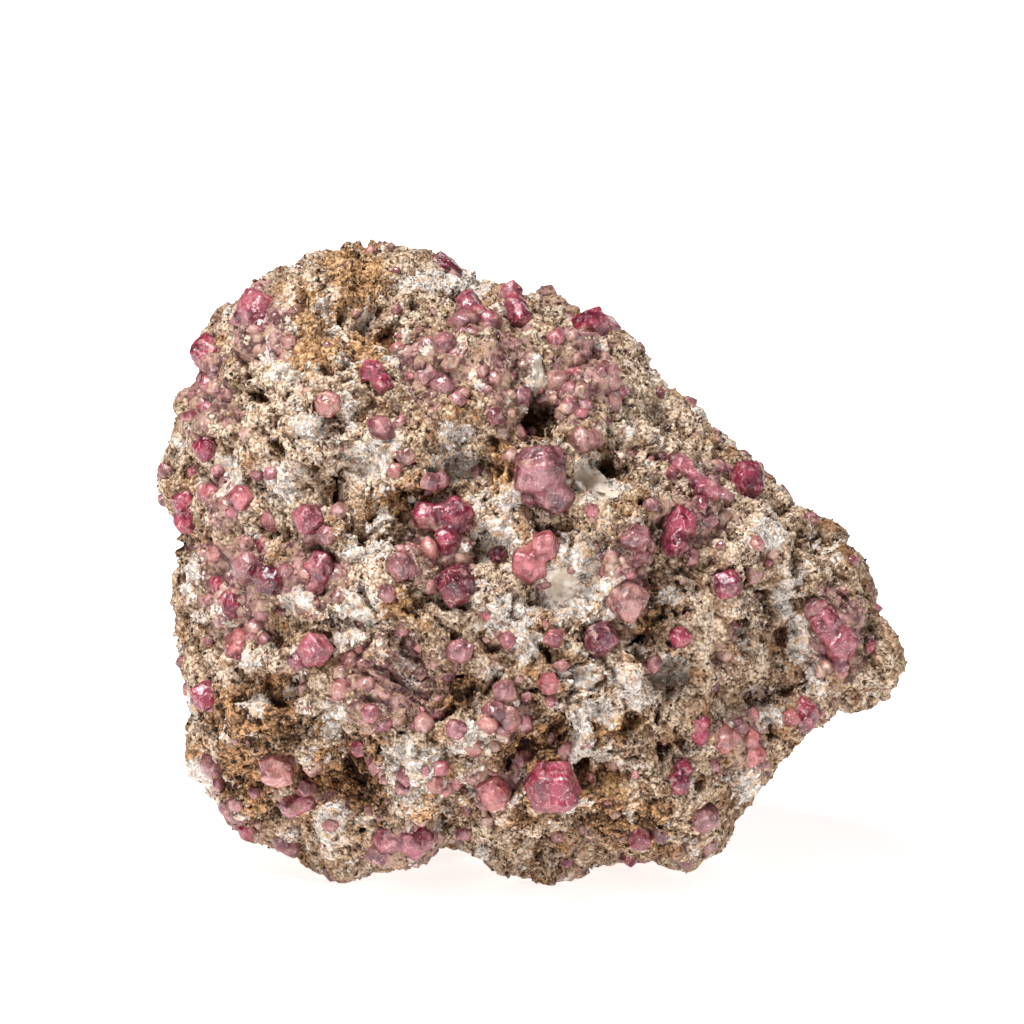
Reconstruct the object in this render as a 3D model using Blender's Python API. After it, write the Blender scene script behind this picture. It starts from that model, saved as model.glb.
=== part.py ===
"""A hand-sized lump of porous skarn rock set with raspberry-pink garnet crystals, at its real size.

The rock is one solid, worked out from its outline as seen from the front, its depth, the flat faces it broke
along, and its lumps and hollows. Each large garnet, or each group of garnets grown into one another, is a solid
of its own that sits in a socket of the rock. Lengths below are in millimetres unless a name says otherwise.
"""

import math
import random

import bmesh
import bpy
import numpy as np
from mathutils import Matrix, Vector, noise
from mathutils.bvhtree import BVHTree

MM = 0.001

# How the front view looks at the rock: from a little above, and from this far away.
VIEW_TILT = math.radians(8.0)
VIEW_DISTANCE = 700.0
RIGHT = Vector((1.0, 0.0, 0.0))
UP = Vector((0.0, math.sin(VIEW_TILT), math.cos(VIEW_TILT)))
AWAY = Vector((0.0, math.cos(VIEW_TILT), -math.sin(VIEW_TILT)))

# What the front view is aimed at: x across, z up.
AIM_X = -2.06
AIM_Z = 45.0

# The core is the point inside the rock that every surface point is measured from: x across, z up.
CORE_X = -3.5
CORE_Z = 35.0
# Moves the whole rock so that the middle of its box stands on the origin.
STANDING_SHIFT = Vector((0.04, 1.21, 0.0))
STANDING_HEIGHT = 34.6

# The rock's outline seen from the front, clockwise from the crest: x from the middle, z above the ground.
OUTLINE = [
    (-20.0, 79.2), (-13.0, 76.6), (-7.5, 74.2), (0.0, 71.8), (6.0, 69.4), (10.6, 67.0),
    (16.0, 60.6), (23.0, 53.2), (28.4, 48.8), (33.6, 45.6), (38.0, 43.0), (42.2, 35.4),
    (44.8, 30.8), (47.0, 26.0), (46.6, 22.4), (43.4, 20.8), (37.4, 20.0), (34.6, 18.4),
    (31.0, 14.6), (27.0, 9.2), (24.0, 5.4), (22.4, 2.0), (14.0, 1.6), (9.8, 2.2),
    (5.0, 0.2), (-3.6, 0.8), (-8.6, 3.9), (-12.6, 3.2), (-18.0, 1.0), (-24.0, -0.6),
    (-28.6, 1.8), (-35.4, 4.4), (-38.0, 8.2), (-40.4, 16.6), (-43.0, 27.8), (-44.4, 41.0),
    (-46.8, 49.0), (-44.2, 56.0), (-42.0, 61.0), (-40.6, 66.4), (-36.6, 71.6), (-29.4, 76.6),
    (-26.2, 76.4), (-24.0, 78.6),
]

# Half depths, and how square each half is in section: 2 is an ellipse, and more is fuller. The foot is fuller
# still, so that the rock stands on a broad base.
FRONT_DEPTH = 32.0
BACK_DEPTH = 30.0
FRONT_FULLNESS = 2.6
BACK_FULLNESS = 2.8
FOOT_FULLNESS = 2.4
RIM_BLUR_DEG = 28
RIM_STARTS = 0.87
RIM_CALM = 0.6

# Flat faces the rock broke along: the way each faces (right, away, up) and its distance from the core.
BROKEN_FACES = [
    ("front", (-0.05, -1.0, 0.10), 29.5),
    ("upper_front", (-0.10, -0.66, 0.75), 36.5),
    ("left_front", (-0.80, -0.60, 0.05), 38.0),
    ("lower_left", (-0.55, -0.62, -0.56), 37.0),
    ("right_shoulder", (0.62, -0.50, 0.60), 31.6),
    ("nose_front", (0.52, -0.85, -0.08), 31.5),
    ("lower_front", (0.10, -0.74, -0.66), 34.0),
    ("back", (0.10, 1.0, 0.05), 26.5),
    ("back_left", (-0.66, 0.74, 0.12), 34.5),
    ("back_right", (0.60, 0.76, -0.24), 31.0),
    ("back_top", (-0.15, 0.62, 0.77), 38.5),
    ("back_foot", (-0.10, 0.60, -0.79), 34.0),
]
FACE_SOFTNESS = 2.0

# Lumps and hollows of the front: x, z, how far each spreads, and its height, negative for a hollow.
FRONT_RELIEF = [
    ("crest_ridge", -22.0, 74.0, 4.0, 1.8),
    ("crest_ridge_foot", -26.5, 64.5, 3.6, 2.2),
    ("crest_ridge_flank", -18.6, 66.6, 3.4, -2.2),
    ("block_gap", -30.2, 68.4, 2.2, -2.2),
    ("left_ledge_high", -38.6, 57.6, 3.0, 1.8),
    ("shelf_gap", -22.4, 48.6, 2.8, -2.4),
    ("left_ledge", -39.6, 46.0, 3.0, 1.6),
    ("left_gap", -39.0, 34.6, 2.6, -1.8),
    ("middle_ridge", -13.4, 31.0, 3.0, 2.0),
    ("middle_gap", -14.6, 26.6, 2.4, -1.8),
    ("low_left_gap", -30.4, 22.6, 2.6, -2.2),
    ("low_bank", -13.6, 13.0, 3.4, 2.0),
    ("low_gap", -20.2, 14.6, 2.6, -2.2),
    ("right_step", 12.4, 46.4, 3.0, 1.8),
    ("right_gap", 14.8, 36.6, 2.4, -1.8),
    ("sandy_step", 19.0, 20.0, 2.8, 1.6),
    ("nose_ledge", 37.4, 36.4, 2.8, 1.4),
    ("crest_knob", -27.0, 70.5, 6.5, 3.0),
    ("crest_shelf", -16.0, 71.0, 5.0, 1.9),
    ("white_saddle", -10.0, 73.0, 4.0, -2.4),
    ("upper_left_block", -34.0, 65.5, 4.6, 2.4),
    ("upper_left_crack", -35.0, 59.4, 2.2, -3.5),
    ("white_knuckles", -27.0, 54.0, 5.0, 1.9),
    ("brown_step", -20.0, 52.0, 4.0, 1.6),
    ("mauve_bank", -9.0, 64.0, 7.0, 2.2),
    ("dark_cleft", 1.6, 58.5, 2.4, -4.3),
    ("tan_buttress", 7.0, 61.5, 4.6, 2.4),
    ("shoulder_dip", 13.5, 56.0, 4.2, -2.2),
    ("grey_vug", -8.1, 50.4, 2.6, -4.6),
    ("ragged_tan_blob", -3.0, 48.6, 2.6, 3.0),
    ("cream_recess_high", 8.4, 49.0, 3.6, -3.2),
    ("shaded_hollow_left", -17.4, 43.6, 3.0, -3.2),
    ("white_lump_left", -21.4, 40.6, 2.8, 3.0),
    ("tan_lump_left", -16.6, 35.6, 3.0, 2.2),
    ("cream_lump", -22.4, 31.8, 4.0, 3.5),
    ("left_gully", -30.6, 31.6, 2.8, -2.4),
    ("crevice_by_cluster", -6.2, 42.0, 1.8, -3.0),
    ("plum_hole", -3.6, 39.6, 1.9, -3.5),
    ("cream_recess_low", 4.6, 35.6, 3.6, -3.5),
    ("white_bank", 10.4, 38.6, 3.0, 2.2),
    ("right_tan_face", 22.6, 28.0, 7.0, 3.0),
    ("shoulder_lump", 28.4, 42.0, 5.2, 2.4),
    ("small_pit", 26.4, 29.6, 1.8, -2.2),
    ("dark_vug", 17.2, 24.0, 2.8, -5.1),
    ("white_ledge", 10.8, 24.4, 3.0, 2.2),
    ("grey_slab_lump", 6.4, 17.0, 2.6, 2.7),
    ("hollow_by_slab", 1.4, 18.0, 2.8, -2.4),
    ("olive_hollow", -8.8, 23.4, 2.4, -2.2),
    ("brown_hollow", -22.6, 8.8, 4.2, -3.0),
    ("left_foot_lump", -24.0, 3.4, 3.4, 1.9),
    ("layered_bank", -19.0, 21.4, 4.4, 2.7),
    ("lower_left_bulge", -34.0, 18.0, 5.0, 1.9),
    ("front_foot", 2.6, 3.4, 4.6, 2.2),
    ("gap_under_garnets", -9.4, 2.4, 3.0, -3.8),
    ("right_foot", 19.4, 3.6, 4.0, 2.2),
    ("nose_gully", 33.0, 27.0, 2.8, -3.0),
    ("nose_tip_knob", 42.4, 26.4, 3.6, 2.2),
    ("nose_under_edge", 34.0, 20.8, 3.0, 1.0),
]

# Lumps and hollows of the sides and back, set out by a seeded draw: how many, and their limits.
BACK_SEED = 41
BACK_COUNT = 34
BACK_SPREAD_DEG = (8.0, 17.0)
BACK_HEIGHT = (-3.6, 3.6)

# The rough surface at this level of detail: wavelength and height of each layer of waves.
ROUGHNESS = [(23.0, 1.7), (11.0, 2.2), (5.6, 2.2)]

# The rock's mesh: quads along each edge of the cube that is blown up into its surface.
ROCK_QUADS = 18

# Garnets that show from a step away. Each node holds one crystal, or several that have grown together.
# A crystal is (x, z, radius, proud): its place in the front view, its size, and how far its middle stands
# out of the rock, as a share of its radius.
FRONT_GARNETS = {
    "garnet_low_front": [(3.0, 10.6, 3.7, 0.35)],
    "garnet_pair_large": [(1.5, 50.3, 3.7, 0.30), (4.5, 44.8, 2.4, 0.25)],
    "garnet_pair_coral": [(2.0, 40.8, 2.0, 0.35), (-0.4, 37.8, 2.4, 0.30)],
    "garnet_group_centre": [(-12.7, 44.5, 2.1, 0.60), (-9.3, 44.4, 2.9, 0.15), (-10.2, 41.2, 2.0, 0.25)],
    "garnet_deep_centre": [(-9.1, 35.8, 2.6, 0.25)],
    "garnet_mauve_left": [(-16.1, 38.2, 2.0, 0.20)],
    "garnet_round_left": [(-27.5, 44.1, 2.1, 0.50)],
    "garnet_pair_left": [(-32.4, 36.4, 2.2, 0.40), (-35.2, 38.1, 1.9, 0.20)],
    "garnet_pair_inner_left": [(-26.0, 38.2, 2.1, 0.30), (-26.8, 35.6, 1.5, 0.10)],
    "garnet_salmon_left": [(-36.0, 28.4, 2.2, 0.40)],
    "garnet_red_left": [(-36.9, 33.2, 1.8, 0.30)],
    "garnet_granular_left": [(-26.8, 28.0, 2.3, 0.20)],
    "garnet_magenta_edge": [(-40.4, 22.1, 1.9, 0.45)],
    "garnet_peach_low_left": [(-31.5, 12.9, 2.5, 0.45)],
    "garnet_pair_low_left": [(-29.6, 8.2, 1.8, 0.45), (-27.3, 8.8, 1.4, 0.20)],
    "garnet_group_underside": [(-14.4, 4.2, 2.8, 0.10), (-18.0, 3.9, 2.0, 0.15)],
    "garnet_mauve_middle": [(-8.5, 27.6, 1.9, 0.40)],
    "garnet_gloss_low": [(-9.1, 17.9, 1.6, 0.50)],
    "garnet_coral_low": [(2.5, 23.6, 1.6, 0.55)],
    "garnet_plum": [(9.0, 29.2, 2.6, 0.15)],
    "garnet_dusty_right": [(12.3, 34.0, 2.7, 0.20)],
    "garnet_pair_right": [(18.6, 43.7, 2.4, 0.30), (18.1, 40.6, 1.9, 0.40)],
    "garnet_round_right": [(24.9, 36.0, 2.1, 0.50)],
    "garnet_small_right": [(18.9, 29.4, 1.5, 0.50)],
    "garnet_shoulder": [(27.2, 48.9, 2.7, 0.15)],
    "garnet_group_shoulder": [(22.4, 47.6, 2.0, 0.30), (20.4, 49.4, 1.4, 0.45), (18.6, 51.2, 1.6, 0.25)],
    "garnet_tall_low_right": [(18.7, 11.0, 1.8, 0.35), (19.4, 13.4, 1.4, 0.20)],
    "garnet_upright_right": [(21.6, 17.0, 1.3, 0.40), (21.7, 18.6, 1.2, 0.35)],
    "garnet_pair_salmon_right": [(27.9, 14.8, 1.7, 0.35), (27.5, 17.8, 1.4, 0.30)],
    "garnet_mauve_low_right": [(22.0, 6.7, 2.1, 0.20)],
    "garnet_group_nose": [(38.9, 28.6, 2.7, 0.35), (39.2, 25.2, 1.4, 0.30), (36.0, 32.8, 2.2, 0.30)],
    "garnet_under_nose": [(34.4, 19.6, 2.2, 0.15)],
    "garnet_foot_right": [(13.9, 4.2, 1.6, 0.20)],
    "garnet_salmon_low": [(-4.4, 10.0, 2.2, 0.25)],
    "garnet_peach_high": [(-25.0, 58.5, 1.9, 0.35)],
    "garnet_pair_high": [(-19.5, 62.9, 1.8, 0.35), (-18.2, 61.0, 1.3, 0.15)],
    "garnet_pair_block": [(-33.9, 70.0, 2.9, 0.05), (-32.4, 66.6, 1.9, 0.05)],
    "garnet_left_edge_high": [(-40.2, 64.8, 2.3, 0.10)],
    "garnet_left_edge_magenta": [(-40.3, 53.0, 1.7, 0.20)],
    "garnet_left_edge_tall": [(-43.0, 46.2, 1.8, 0.10), (-42.9, 42.6, 1.8, 0.10)],
    "garnet_crest": [(-10.9, 75.0, 2.4, 0.05)],
    "garnet_group_crest": [(-7.5, 71.3, 1.7, 0.35), (-8.2, 68.6, 1.8, 0.10), (-5.0, 69.3, 1.4, 0.25)],
    "garnet_pair_crest": [(-1.8, 71.0, 1.7, 0.10), (-0.8, 69.2, 1.5, 0.15)],
    "garnet_shoulder_crest": [(8.0, 68.2, 2.4, 0.05)],
    "garnet_pair_dusty_high": [(6.5, 53.8, 1.8, 0.30), (9.4, 54.2, 1.4, 0.25)],
    "garnet_mauve_bank": [(-10.2, 66.0, 1.9, 0.25)],
}

# Garnets of the sides, back and top: heading round the rock from the front, height angle, radius and proud.
OTHER_GARNETS = {
    "garnet_back_large": [(172.0, 12.0, 3.4, 0.12), (181.0, 8.0, 2.3, 0.10)],
    "garnet_back_high": [(196.0, 38.0, 2.6, 0.15)],
    "garnet_back_low": [(158.0, -22.0, 2.7, 0.12)],
    "garnet_back_left": [(212.0, 6.0, 2.4, 0.15), (219.0, 9.0, 1.8, 0.10)],
    "garnet_back_left_low": [(222.0, -24.0, 2.2, 0.12)],
    "garnet_back_right": [(138.0, 18.0, 2.5, 0.15)],
    "garnet_back_right_low": [(128.0, -10.0, 2.0, 0.15)],
    "garnet_left_face": [(252.0, 20.0, 2.6, 0.10)],
    "garnet_left_face_low": [(246.0, -6.0, 2.2, 0.15)],
    "garnet_right_face": [(110.0, 4.0, 2.4, 0.10)],
    "garnet_top": [(200.0, 68.0, 2.8, 0.10)],
    "garnet_top_back": [(150.0, 54.0, 2.1, 0.15)],
}

# A garnet is a rhombic dodecahedron a little stretched. Its flat faces lie this share of its radius out.
FACE_REACH = 0.80
STRETCH = (0.90, 1.12)
SOCKET_GAP = 0.32
GROWN_TOGETHER = 0.66
LOWEST_GARNET = 0.25
FLAT_ANGLE = math.radians(0.5)

# A garnet whose name has one of these words in it has that tone, and the others are raspberry.
RASPBERRY = (0.42, 0.075, 0.15, 1.0)
TONES = {
    "salmon": (0.58, 0.22, 0.20, 1.0),
    "peach": (0.60, 0.27, 0.22, 1.0),
    "coral": (0.60, 0.17, 0.19, 1.0),
    "mauve": (0.40, 0.19, 0.22, 1.0),
    "dusty": (0.44, 0.24, 0.23, 1.0),
    "plum": (0.22, 0.05, 0.10, 1.0),
    "magenta": (0.50, 0.09, 0.20, 1.0),
}
ROCK_COLOUR = (0.45, 0.34, 0.24, 1.0)
GARNET_ROUGHNESS = 0.35
ROCK_ROUGHNESS = 0.95


def clear_scene():
    for thing in list(bpy.data.objects):
        bpy.data.objects.remove(thing)


def material(name, colour, roughness):
    made = bpy.data.materials.new(name)
    made.use_nodes = True
    shader = made.node_tree.nodes["Principled BSDF"]
    shader.inputs["Base Color"].default_value = colour
    shader.inputs["Roughness"].default_value = roughness
    shader.inputs["Metallic"].default_value = 0.0
    return made


def unit(vector):
    return np.array(vector, float) / np.linalg.norm(vector)


def soft_min(a, b, softness):
    """The lesser of a and b, rounded off where they meet."""
    low = np.minimum(a, b)
    return low - softness * np.log(np.exp((low - a) / softness) + np.exp((low - b) / softness))


def rim_radius(angles):
    """The outline's distance from the core at each angle in the front view."""
    points = np.array(OUTLINE) - (CORE_X, CORE_Z)
    around = np.arctan2(points[:, 1], points[:, 0])
    order = np.argsort(around)
    return np.interp(angles, around[order], np.hypot(*points[order].T), period=2 * math.pi)


def blurred_rim_radius(angles):
    turns = np.radians(np.arange(-RIM_BLUR_DEG, RIM_BLUR_DEG + 1, 7))
    return np.mean([rim_radius(angles + turn) for turn in turns], axis=0)


def nearness_to_rim(ways):
    """1 on the outline, falling to 0 well inside it."""
    sideways = np.hypot(ways[:, 0], ways[:, 2])
    return np.clip((sideways - RIM_STARTS) / (1 - RIM_STARTS), 0, 1) ** 2


def envelope(ways):
    """How far the plain rounded body reaches each way. A way is (right, away, up) from the core, of length 1."""
    right, away, up = ways.T
    angles = np.arctan2(up, right)
    sideways = np.hypot(right, up)
    sharp = nearness_to_rim(ways)
    rim = sharp * rim_radius(angles) + (1 - sharp) * blurred_rim_radius(angles)
    depth = np.where(away < 0, FRONT_DEPTH, BACK_DEPTH)
    fullness = np.where(away < 0, FRONT_FULLNESS, BACK_FULLNESS) + FOOT_FULLNESS * np.maximum(-up, 0)
    return ((sideways / rim) ** fullness + (np.abs(away) / depth) ** fullness) ** (-1 / fullness)


def cut_by_broken_faces(ways, reach):
    for _, facing, distance in BROKEN_FACES:
        towards = np.maximum(ways @ unit(facing), 0.05)
        reach = soft_min(reach, distance / towards, FACE_SOFTNESS)
    return reach


def raise_front_relief(ways, reach):
    x = CORE_X + reach * ways[:, 0]
    z = CORE_Z + reach * ways[:, 2]
    share = np.clip(-ways[:, 1] / 0.25, 0, 1)
    raised = reach.copy()
    for _, lump_x, lump_z, spread, height in FRONT_RELIEF:
        raised += height * share * np.exp(-((x - lump_x) ** 2 + (z - lump_z) ** 2) / spread**2)
    return raised


def raise_back_relief(ways, reach):
    draw = random.Random(BACK_SEED)
    share = np.clip((ways[:, 1] - 0.1) / 0.3, 0, 1)
    raised = reach.copy()
    for _ in range(BACK_COUNT):
        heading = draw.uniform(0, 2 * math.pi)
        away = draw.uniform(0.0, 1.0)
        flat = math.sqrt(1 - away**2)
        middle = np.array((flat * math.cos(heading), away, flat * math.sin(heading)))
        spread = math.radians(draw.uniform(*BACK_SPREAD_DEG))
        height = draw.uniform(*BACK_HEIGHT)
        apart = np.arccos(np.clip(ways @ middle, -1, 1))
        raised += height * share * np.exp(-((apart / spread) ** 2))
    return raised


def waves(points, layers):
    """Rolling noise at each point, summed over layers of (wavelength, height)."""
    total = np.zeros(len(points))
    for number, (wavelength, height) in enumerate(layers):
        shift = 17.3 * (number + 1)
        total += height * np.array([noise.noise(Vector(p / wavelength + shift)) for p in points])
    return total


def rock_reach(ways):
    """How far the rock's surface lies from the core each way."""
    reach = cut_by_broken_faces(ways, envelope(ways))
    reach = raise_front_relief(ways, reach)
    reach = raise_back_relief(ways, reach)
    calm = 1 - RIM_CALM * nearness_to_rim(ways)
    return reach + calm * waves(ways * reach[:, None], ROUGHNESS)


def standing_core():
    return np.array(STANDING_SHIFT) + (CORE_X, 0.0, STANDING_HEIGHT)


def in_place(points):
    """Points given as (right, away, up) from the core, moved to where the standing rock has them.

    The front view draws what is far away in towards its aim, so what lies further away is spread that much wider.
    """
    aim = np.array((AIM_X - CORE_X, 0.0, AIM_Z - CORE_Z))
    spread = 1 + points[:, 1:2] / VIEW_DISTANCE
    widened = (points - aim) * spread + aim
    widened[:, 1] = points[:, 1]
    return standing_core() + widened @ np.array((RIGHT, AWAY, UP))


def flat_footed(points):
    """What reaches under the ground is drawn back towards the core until it lies on it."""
    core = standing_core()
    from_core = points - core
    under = points[:, 2] < 0
    share = np.ones(len(points))
    share[under] = core[2] / (core[2] - points[under, 2])
    footed = core + from_core * share[:, None]
    footed[under, 2] = 0.0
    return footed


def blown_up_cube(quads):
    """A cube's faces cut into quads and rounded to a ball: the ways, and the faces between them."""
    mesh = bmesh.new()
    bmesh.ops.create_cube(mesh, size=2.0)
    bmesh.ops.subdivide_edges(mesh, edges=mesh.edges[:], cuts=quads - 1, use_grid_fill=True)
    ways = np.array([v.co for v in mesh.verts])
    ways = np.tan(ways * math.pi / 4)
    ways /= np.linalg.norm(ways, axis=1)[:, None]
    faces = [[v.index for v in face.verts] for face in mesh.faces]
    mesh.free()
    return ways, faces


def rock_shape():
    """The rock's points in the front view's own axes, and in place, with its faces."""
    ways, faces = blown_up_cube(ROCK_QUADS)
    seen = ways * rock_reach(ways)[:, None]
    return seen, flat_footed(in_place(seen)), faces


def object_from(name, points, faces, finish):
    mesh = bpy.data.meshes.new(name)
    mesh.from_pydata([tuple(p * MM) for p in points], [], faces)
    mesh.update()
    made = bpy.data.objects.new(name, mesh)
    made.data.materials.append(finish)
    bpy.context.scene.collection.objects.link(made)
    return made


def dodecahedron(radius, draw):
    """A rhombic dodecahedron's corners, stretched and turned at random, and how near its nearest face lies."""
    size = FACE_REACH * radius / math.sqrt(2)
    corners = [(x, y, z) for x in (-1, 1) for y in (-1, 1) for z in (-1, 1)]
    corners += [(2 * s, 0, 0) for s in (-1, 1)]
    corners += [(0, 2 * s, 0) for s in (-1, 1)]
    corners += [(0, 0, 2 * s) for s in (-1, 1)]
    stretch = [draw.uniform(*STRETCH) for _ in range(3)]
    turn = Matrix.Rotation(draw.uniform(0, 6.28), 3, Vector([draw.gauss(0, 1) for _ in range(3)]))
    shaped = [turn @ Vector([c * size * s for c, s in zip(corner, stretch)]) for corner in corners]
    return np.array(shaped), FACE_REACH * radius * min(stretch)


def surface_under(tree, x, z):
    """Where the front view meets the rock at x, z, and which way the rock faces there."""
    start = Vector((x - CORE_X, -2 * FRONT_DEPTH, z - CORE_Z))
    place, facing, _, _ = tree.ray_cast(start, Vector((0, 1, 0)))
    if place is None:
        place, facing, _, _ = tree.find_nearest(Vector((x - CORE_X, 0, z - CORE_Z)))
    return place, facing


def front_middle(tree, x, z, radius, proud):
    """The middle of a crystal that shows at x, z in the front view and stands proud of the rock."""
    place, facing = surface_under(tree, x, z)
    stands = radius * proud
    place, facing = surface_under(tree, x - facing.x * stands, z - facing.z * stands)
    return place + facing * stands


def other_middle(tree, heading, height, radius, proud):
    """The middle of a crystal at that heading round the rock, from the front, and height angle."""
    around, above = math.radians(heading), math.radians(height)
    way = Vector((math.sin(around) * math.cos(above), -math.cos(around) * math.cos(above), math.sin(above)))
    place, facing, _, _ = tree.ray_cast(way * 90.0, -way)
    return place + facing * radius * proud


def drawn_in(middle, radius, earlier):
    """A later crystal of a group is drawn in until it has grown into the nearest earlier one."""
    if not earlier:
        return middle
    nearest, its_radius = min(earlier, key=lambda other: np.linalg.norm(other[0] - middle) - other[1])
    apart = np.linalg.norm(middle - nearest)
    widest = GROWN_TOGETHER * (radius + its_radius)
    if apart <= widest:
        return middle
    return nearest + (middle - nearest) * widest / apart


def convex(name, points, finish):
    """A closed solid with flat faces round the points."""
    mesh = bmesh.new()
    for point in points:
        mesh.verts.new(tuple(point * MM))
    bmesh.ops.convex_hull(mesh, input=mesh.verts[:])
    bmesh.ops.dissolve_limit(mesh, angle_limit=FLAT_ANGLE, verts=mesh.verts[:], edges=mesh.edges[:])
    bmesh.ops.recalc_face_normals(mesh, faces=mesh.faces[:])
    data = bpy.data.meshes.new(name)
    mesh.to_mesh(data)
    mesh.free()
    made = bpy.data.objects.new(name, data)
    made.data.materials.append(finish)
    bpy.context.scene.collection.objects.link(made)
    return made


def with_boolean(target, operation, others):
    """Joins to, or cuts from, target the solids in others, then removes them."""
    group = bpy.data.collections.new("tools")
    bpy.context.scene.collection.children.link(group)
    for other in others:
        group.objects.link(other)
    cut = target.modifiers.new(operation.lower(), "BOOLEAN")
    cut.operation = operation
    cut.solver = "EXACT"
    cut.operand_type = "COLLECTION"
    cut.collection = group
    bpy.context.view_layer.update()
    shaped = bpy.data.meshes.new_from_object(target.evaluated_get(bpy.context.evaluated_depsgraph_get()))
    target.modifiers.clear()
    target.data = shaped
    for other in others:
        bpy.data.objects.remove(other)
    bpy.data.collections.remove(group)


def keep_largest_piece(target):
    """Removes the crumbs that a cut leaves behind."""
    mesh = bmesh.new()
    mesh.from_mesh(target.data)
    unseen = set(mesh.verts)
    pieces = []
    while unseen:
        stack = [unseen.pop()]
        piece = set(stack)
        while stack:
            for edge in stack.pop().link_edges:
                for vert in edge.verts:
                    if vert in unseen:
                        unseen.remove(vert)
                        piece.add(vert)
                        stack.append(vert)
        pieces.append(piece)
    pieces.sort(key=len, reverse=True)
    for piece in pieces[1:]:
        bmesh.ops.delete(mesh, geom=list(piece), context="VERTS")
    mesh.to_mesh(target.data)
    mesh.free()


def garnet_finish(name):
    tone = next((colour for word, colour in TONES.items() if word in name), RASPBERRY)
    return material(name, tone, GARNET_ROUGHNESS)


def grow_garnet(name, crystals, middle_of, tree):
    """One garnet node, and the cutters that make its socket in the rock. Its name seeds its shape."""
    draw = random.Random(name)
    finish = garnet_finish(name)
    grown, cutters, earlier = [], [], []
    for number, (first, second, radius, proud) in enumerate(crystals):
        middle = np.array(middle_of(tree, first, second, radius, proud))
        middle = drawn_in(in_place(middle[None])[0], radius, earlier)
        earlier.append((middle, radius))
        corners, nearest_face = dodecahedron(radius, draw)
        middle[2] = max(middle[2], LOWEST_GARNET - corners[:, 2].min())
        grown.append(convex(f"{name}_{number}", middle + corners, finish))
        wider = corners * (1 + SOCKET_GAP / nearest_face)
        cutters.append(convex(f"{name}_socket_{number}", middle + wider, finish))
    garnet = grown[0]
    garnet.name = name
    if len(grown) > 1:
        with_boolean(garnet, "UNION", grown[1:])
    return cutters


def build():
    clear_scene()
    seen, standing, faces = rock_shape()
    tree = BVHTree.FromPolygons([Vector(p) for p in seen], faces)
    rock = object_from("matrix_rock", standing, faces, material("matrix_rock", ROCK_COLOUR, ROCK_ROUGHNESS))
    cutters = []
    for name, crystals in FRONT_GARNETS.items():
        cutters += grow_garnet(name, crystals, front_middle, tree)
    for name, crystals in OTHER_GARNETS.items():
        cutters += grow_garnet(name, crystals, other_middle, tree)
    with_boolean(rock, "DIFFERENCE", cutters)
    keep_largest_piece(rock)


build()
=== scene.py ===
"""Dresses a raspberry garnet on matrix for its portrait.

The rock's form is read from its solid and then given its lumps, pores and sugary grains. The garnets'
solids get their worn faces, and the garnets too small to be solids are set in the rock. Lengths are in
millimetres unless a name says otherwise.
"""

import math
import random

import bmesh
import bpy
import numpy as np
from mathutils import Matrix, Vector, noise
from mathutils.bvhtree import BVHTree


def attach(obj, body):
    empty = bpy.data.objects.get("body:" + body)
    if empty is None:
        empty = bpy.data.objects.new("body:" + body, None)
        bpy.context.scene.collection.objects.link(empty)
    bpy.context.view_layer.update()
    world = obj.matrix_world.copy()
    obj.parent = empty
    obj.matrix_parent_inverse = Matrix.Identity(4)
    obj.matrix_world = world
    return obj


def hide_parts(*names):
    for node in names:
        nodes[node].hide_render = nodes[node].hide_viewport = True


MM = 0.001
ROCK_NODE = "matrix_rock"

# How the photo looks at the rock: from a little above, and from this far away.
VIEW_TILT = math.radians(8.0)
VIEW_DISTANCE = 700.0
RIGHT = Vector((1.0, 0.0, 0.0))
UP = Vector((0.0, math.sin(VIEW_TILT), math.cos(VIEW_TILT)))
AWAY = Vector((0.0, math.cos(VIEW_TILT), -math.sin(VIEW_TILT)))

# The point inside the rock that its surface is measured from, and where the front view has it.
CORE = Vector((-3.46, 1.21, 34.6))
CORE_X = -3.5
CORE_Z = 35.0

# What the photo's middle shows, and how much of the front view its width takes in.
MIDDLE_X = -2.06
MIDDLE_Z = 45.0
VIEW_WIDTH = 128.0
SENSOR_WIDTH = 36.0

# The rock's fine mesh: quads along each edge of the cube that is blown up into it, and how much they
# crowd towards the front. It is shown as two halves, each made of three sides of the cube. Sides 0 to 5
# are the left, front, underside, right, back and top.
ROCK_QUADS = 176
FRONT_CROWDING = 1.42
ROCK_HALVES = {"rock_near_half": (1, 5, 0), "rock_far_half": (4, 2, 3)}

# How far the rock laps up round a garnet, and how much its lumps and hollows are deepened.
LAP = 0.55
DEEPENING = 0.45

# How far the lumps may stand out of the rock's solid, and the hollows go into it.
MOST_OUTWARD = 1.5
MOST_INWARD = 5.0

# A distance from the core that is outside the rock, and how many rounds its form is evened out, under the
# garnets and to find its lumps and hollows.
OUTSIDE = 90.0
ROUNDS_UNDER_GARNETS = 260
ROUNDS_FOR_LUMPS = 90

# The layers of the layered bank: the way they are stacked and how thick each is.
LAYER_WAY = np.array((0.53, 0.10, 0.84))
LAYER_THICKNESS = 1.6

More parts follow.
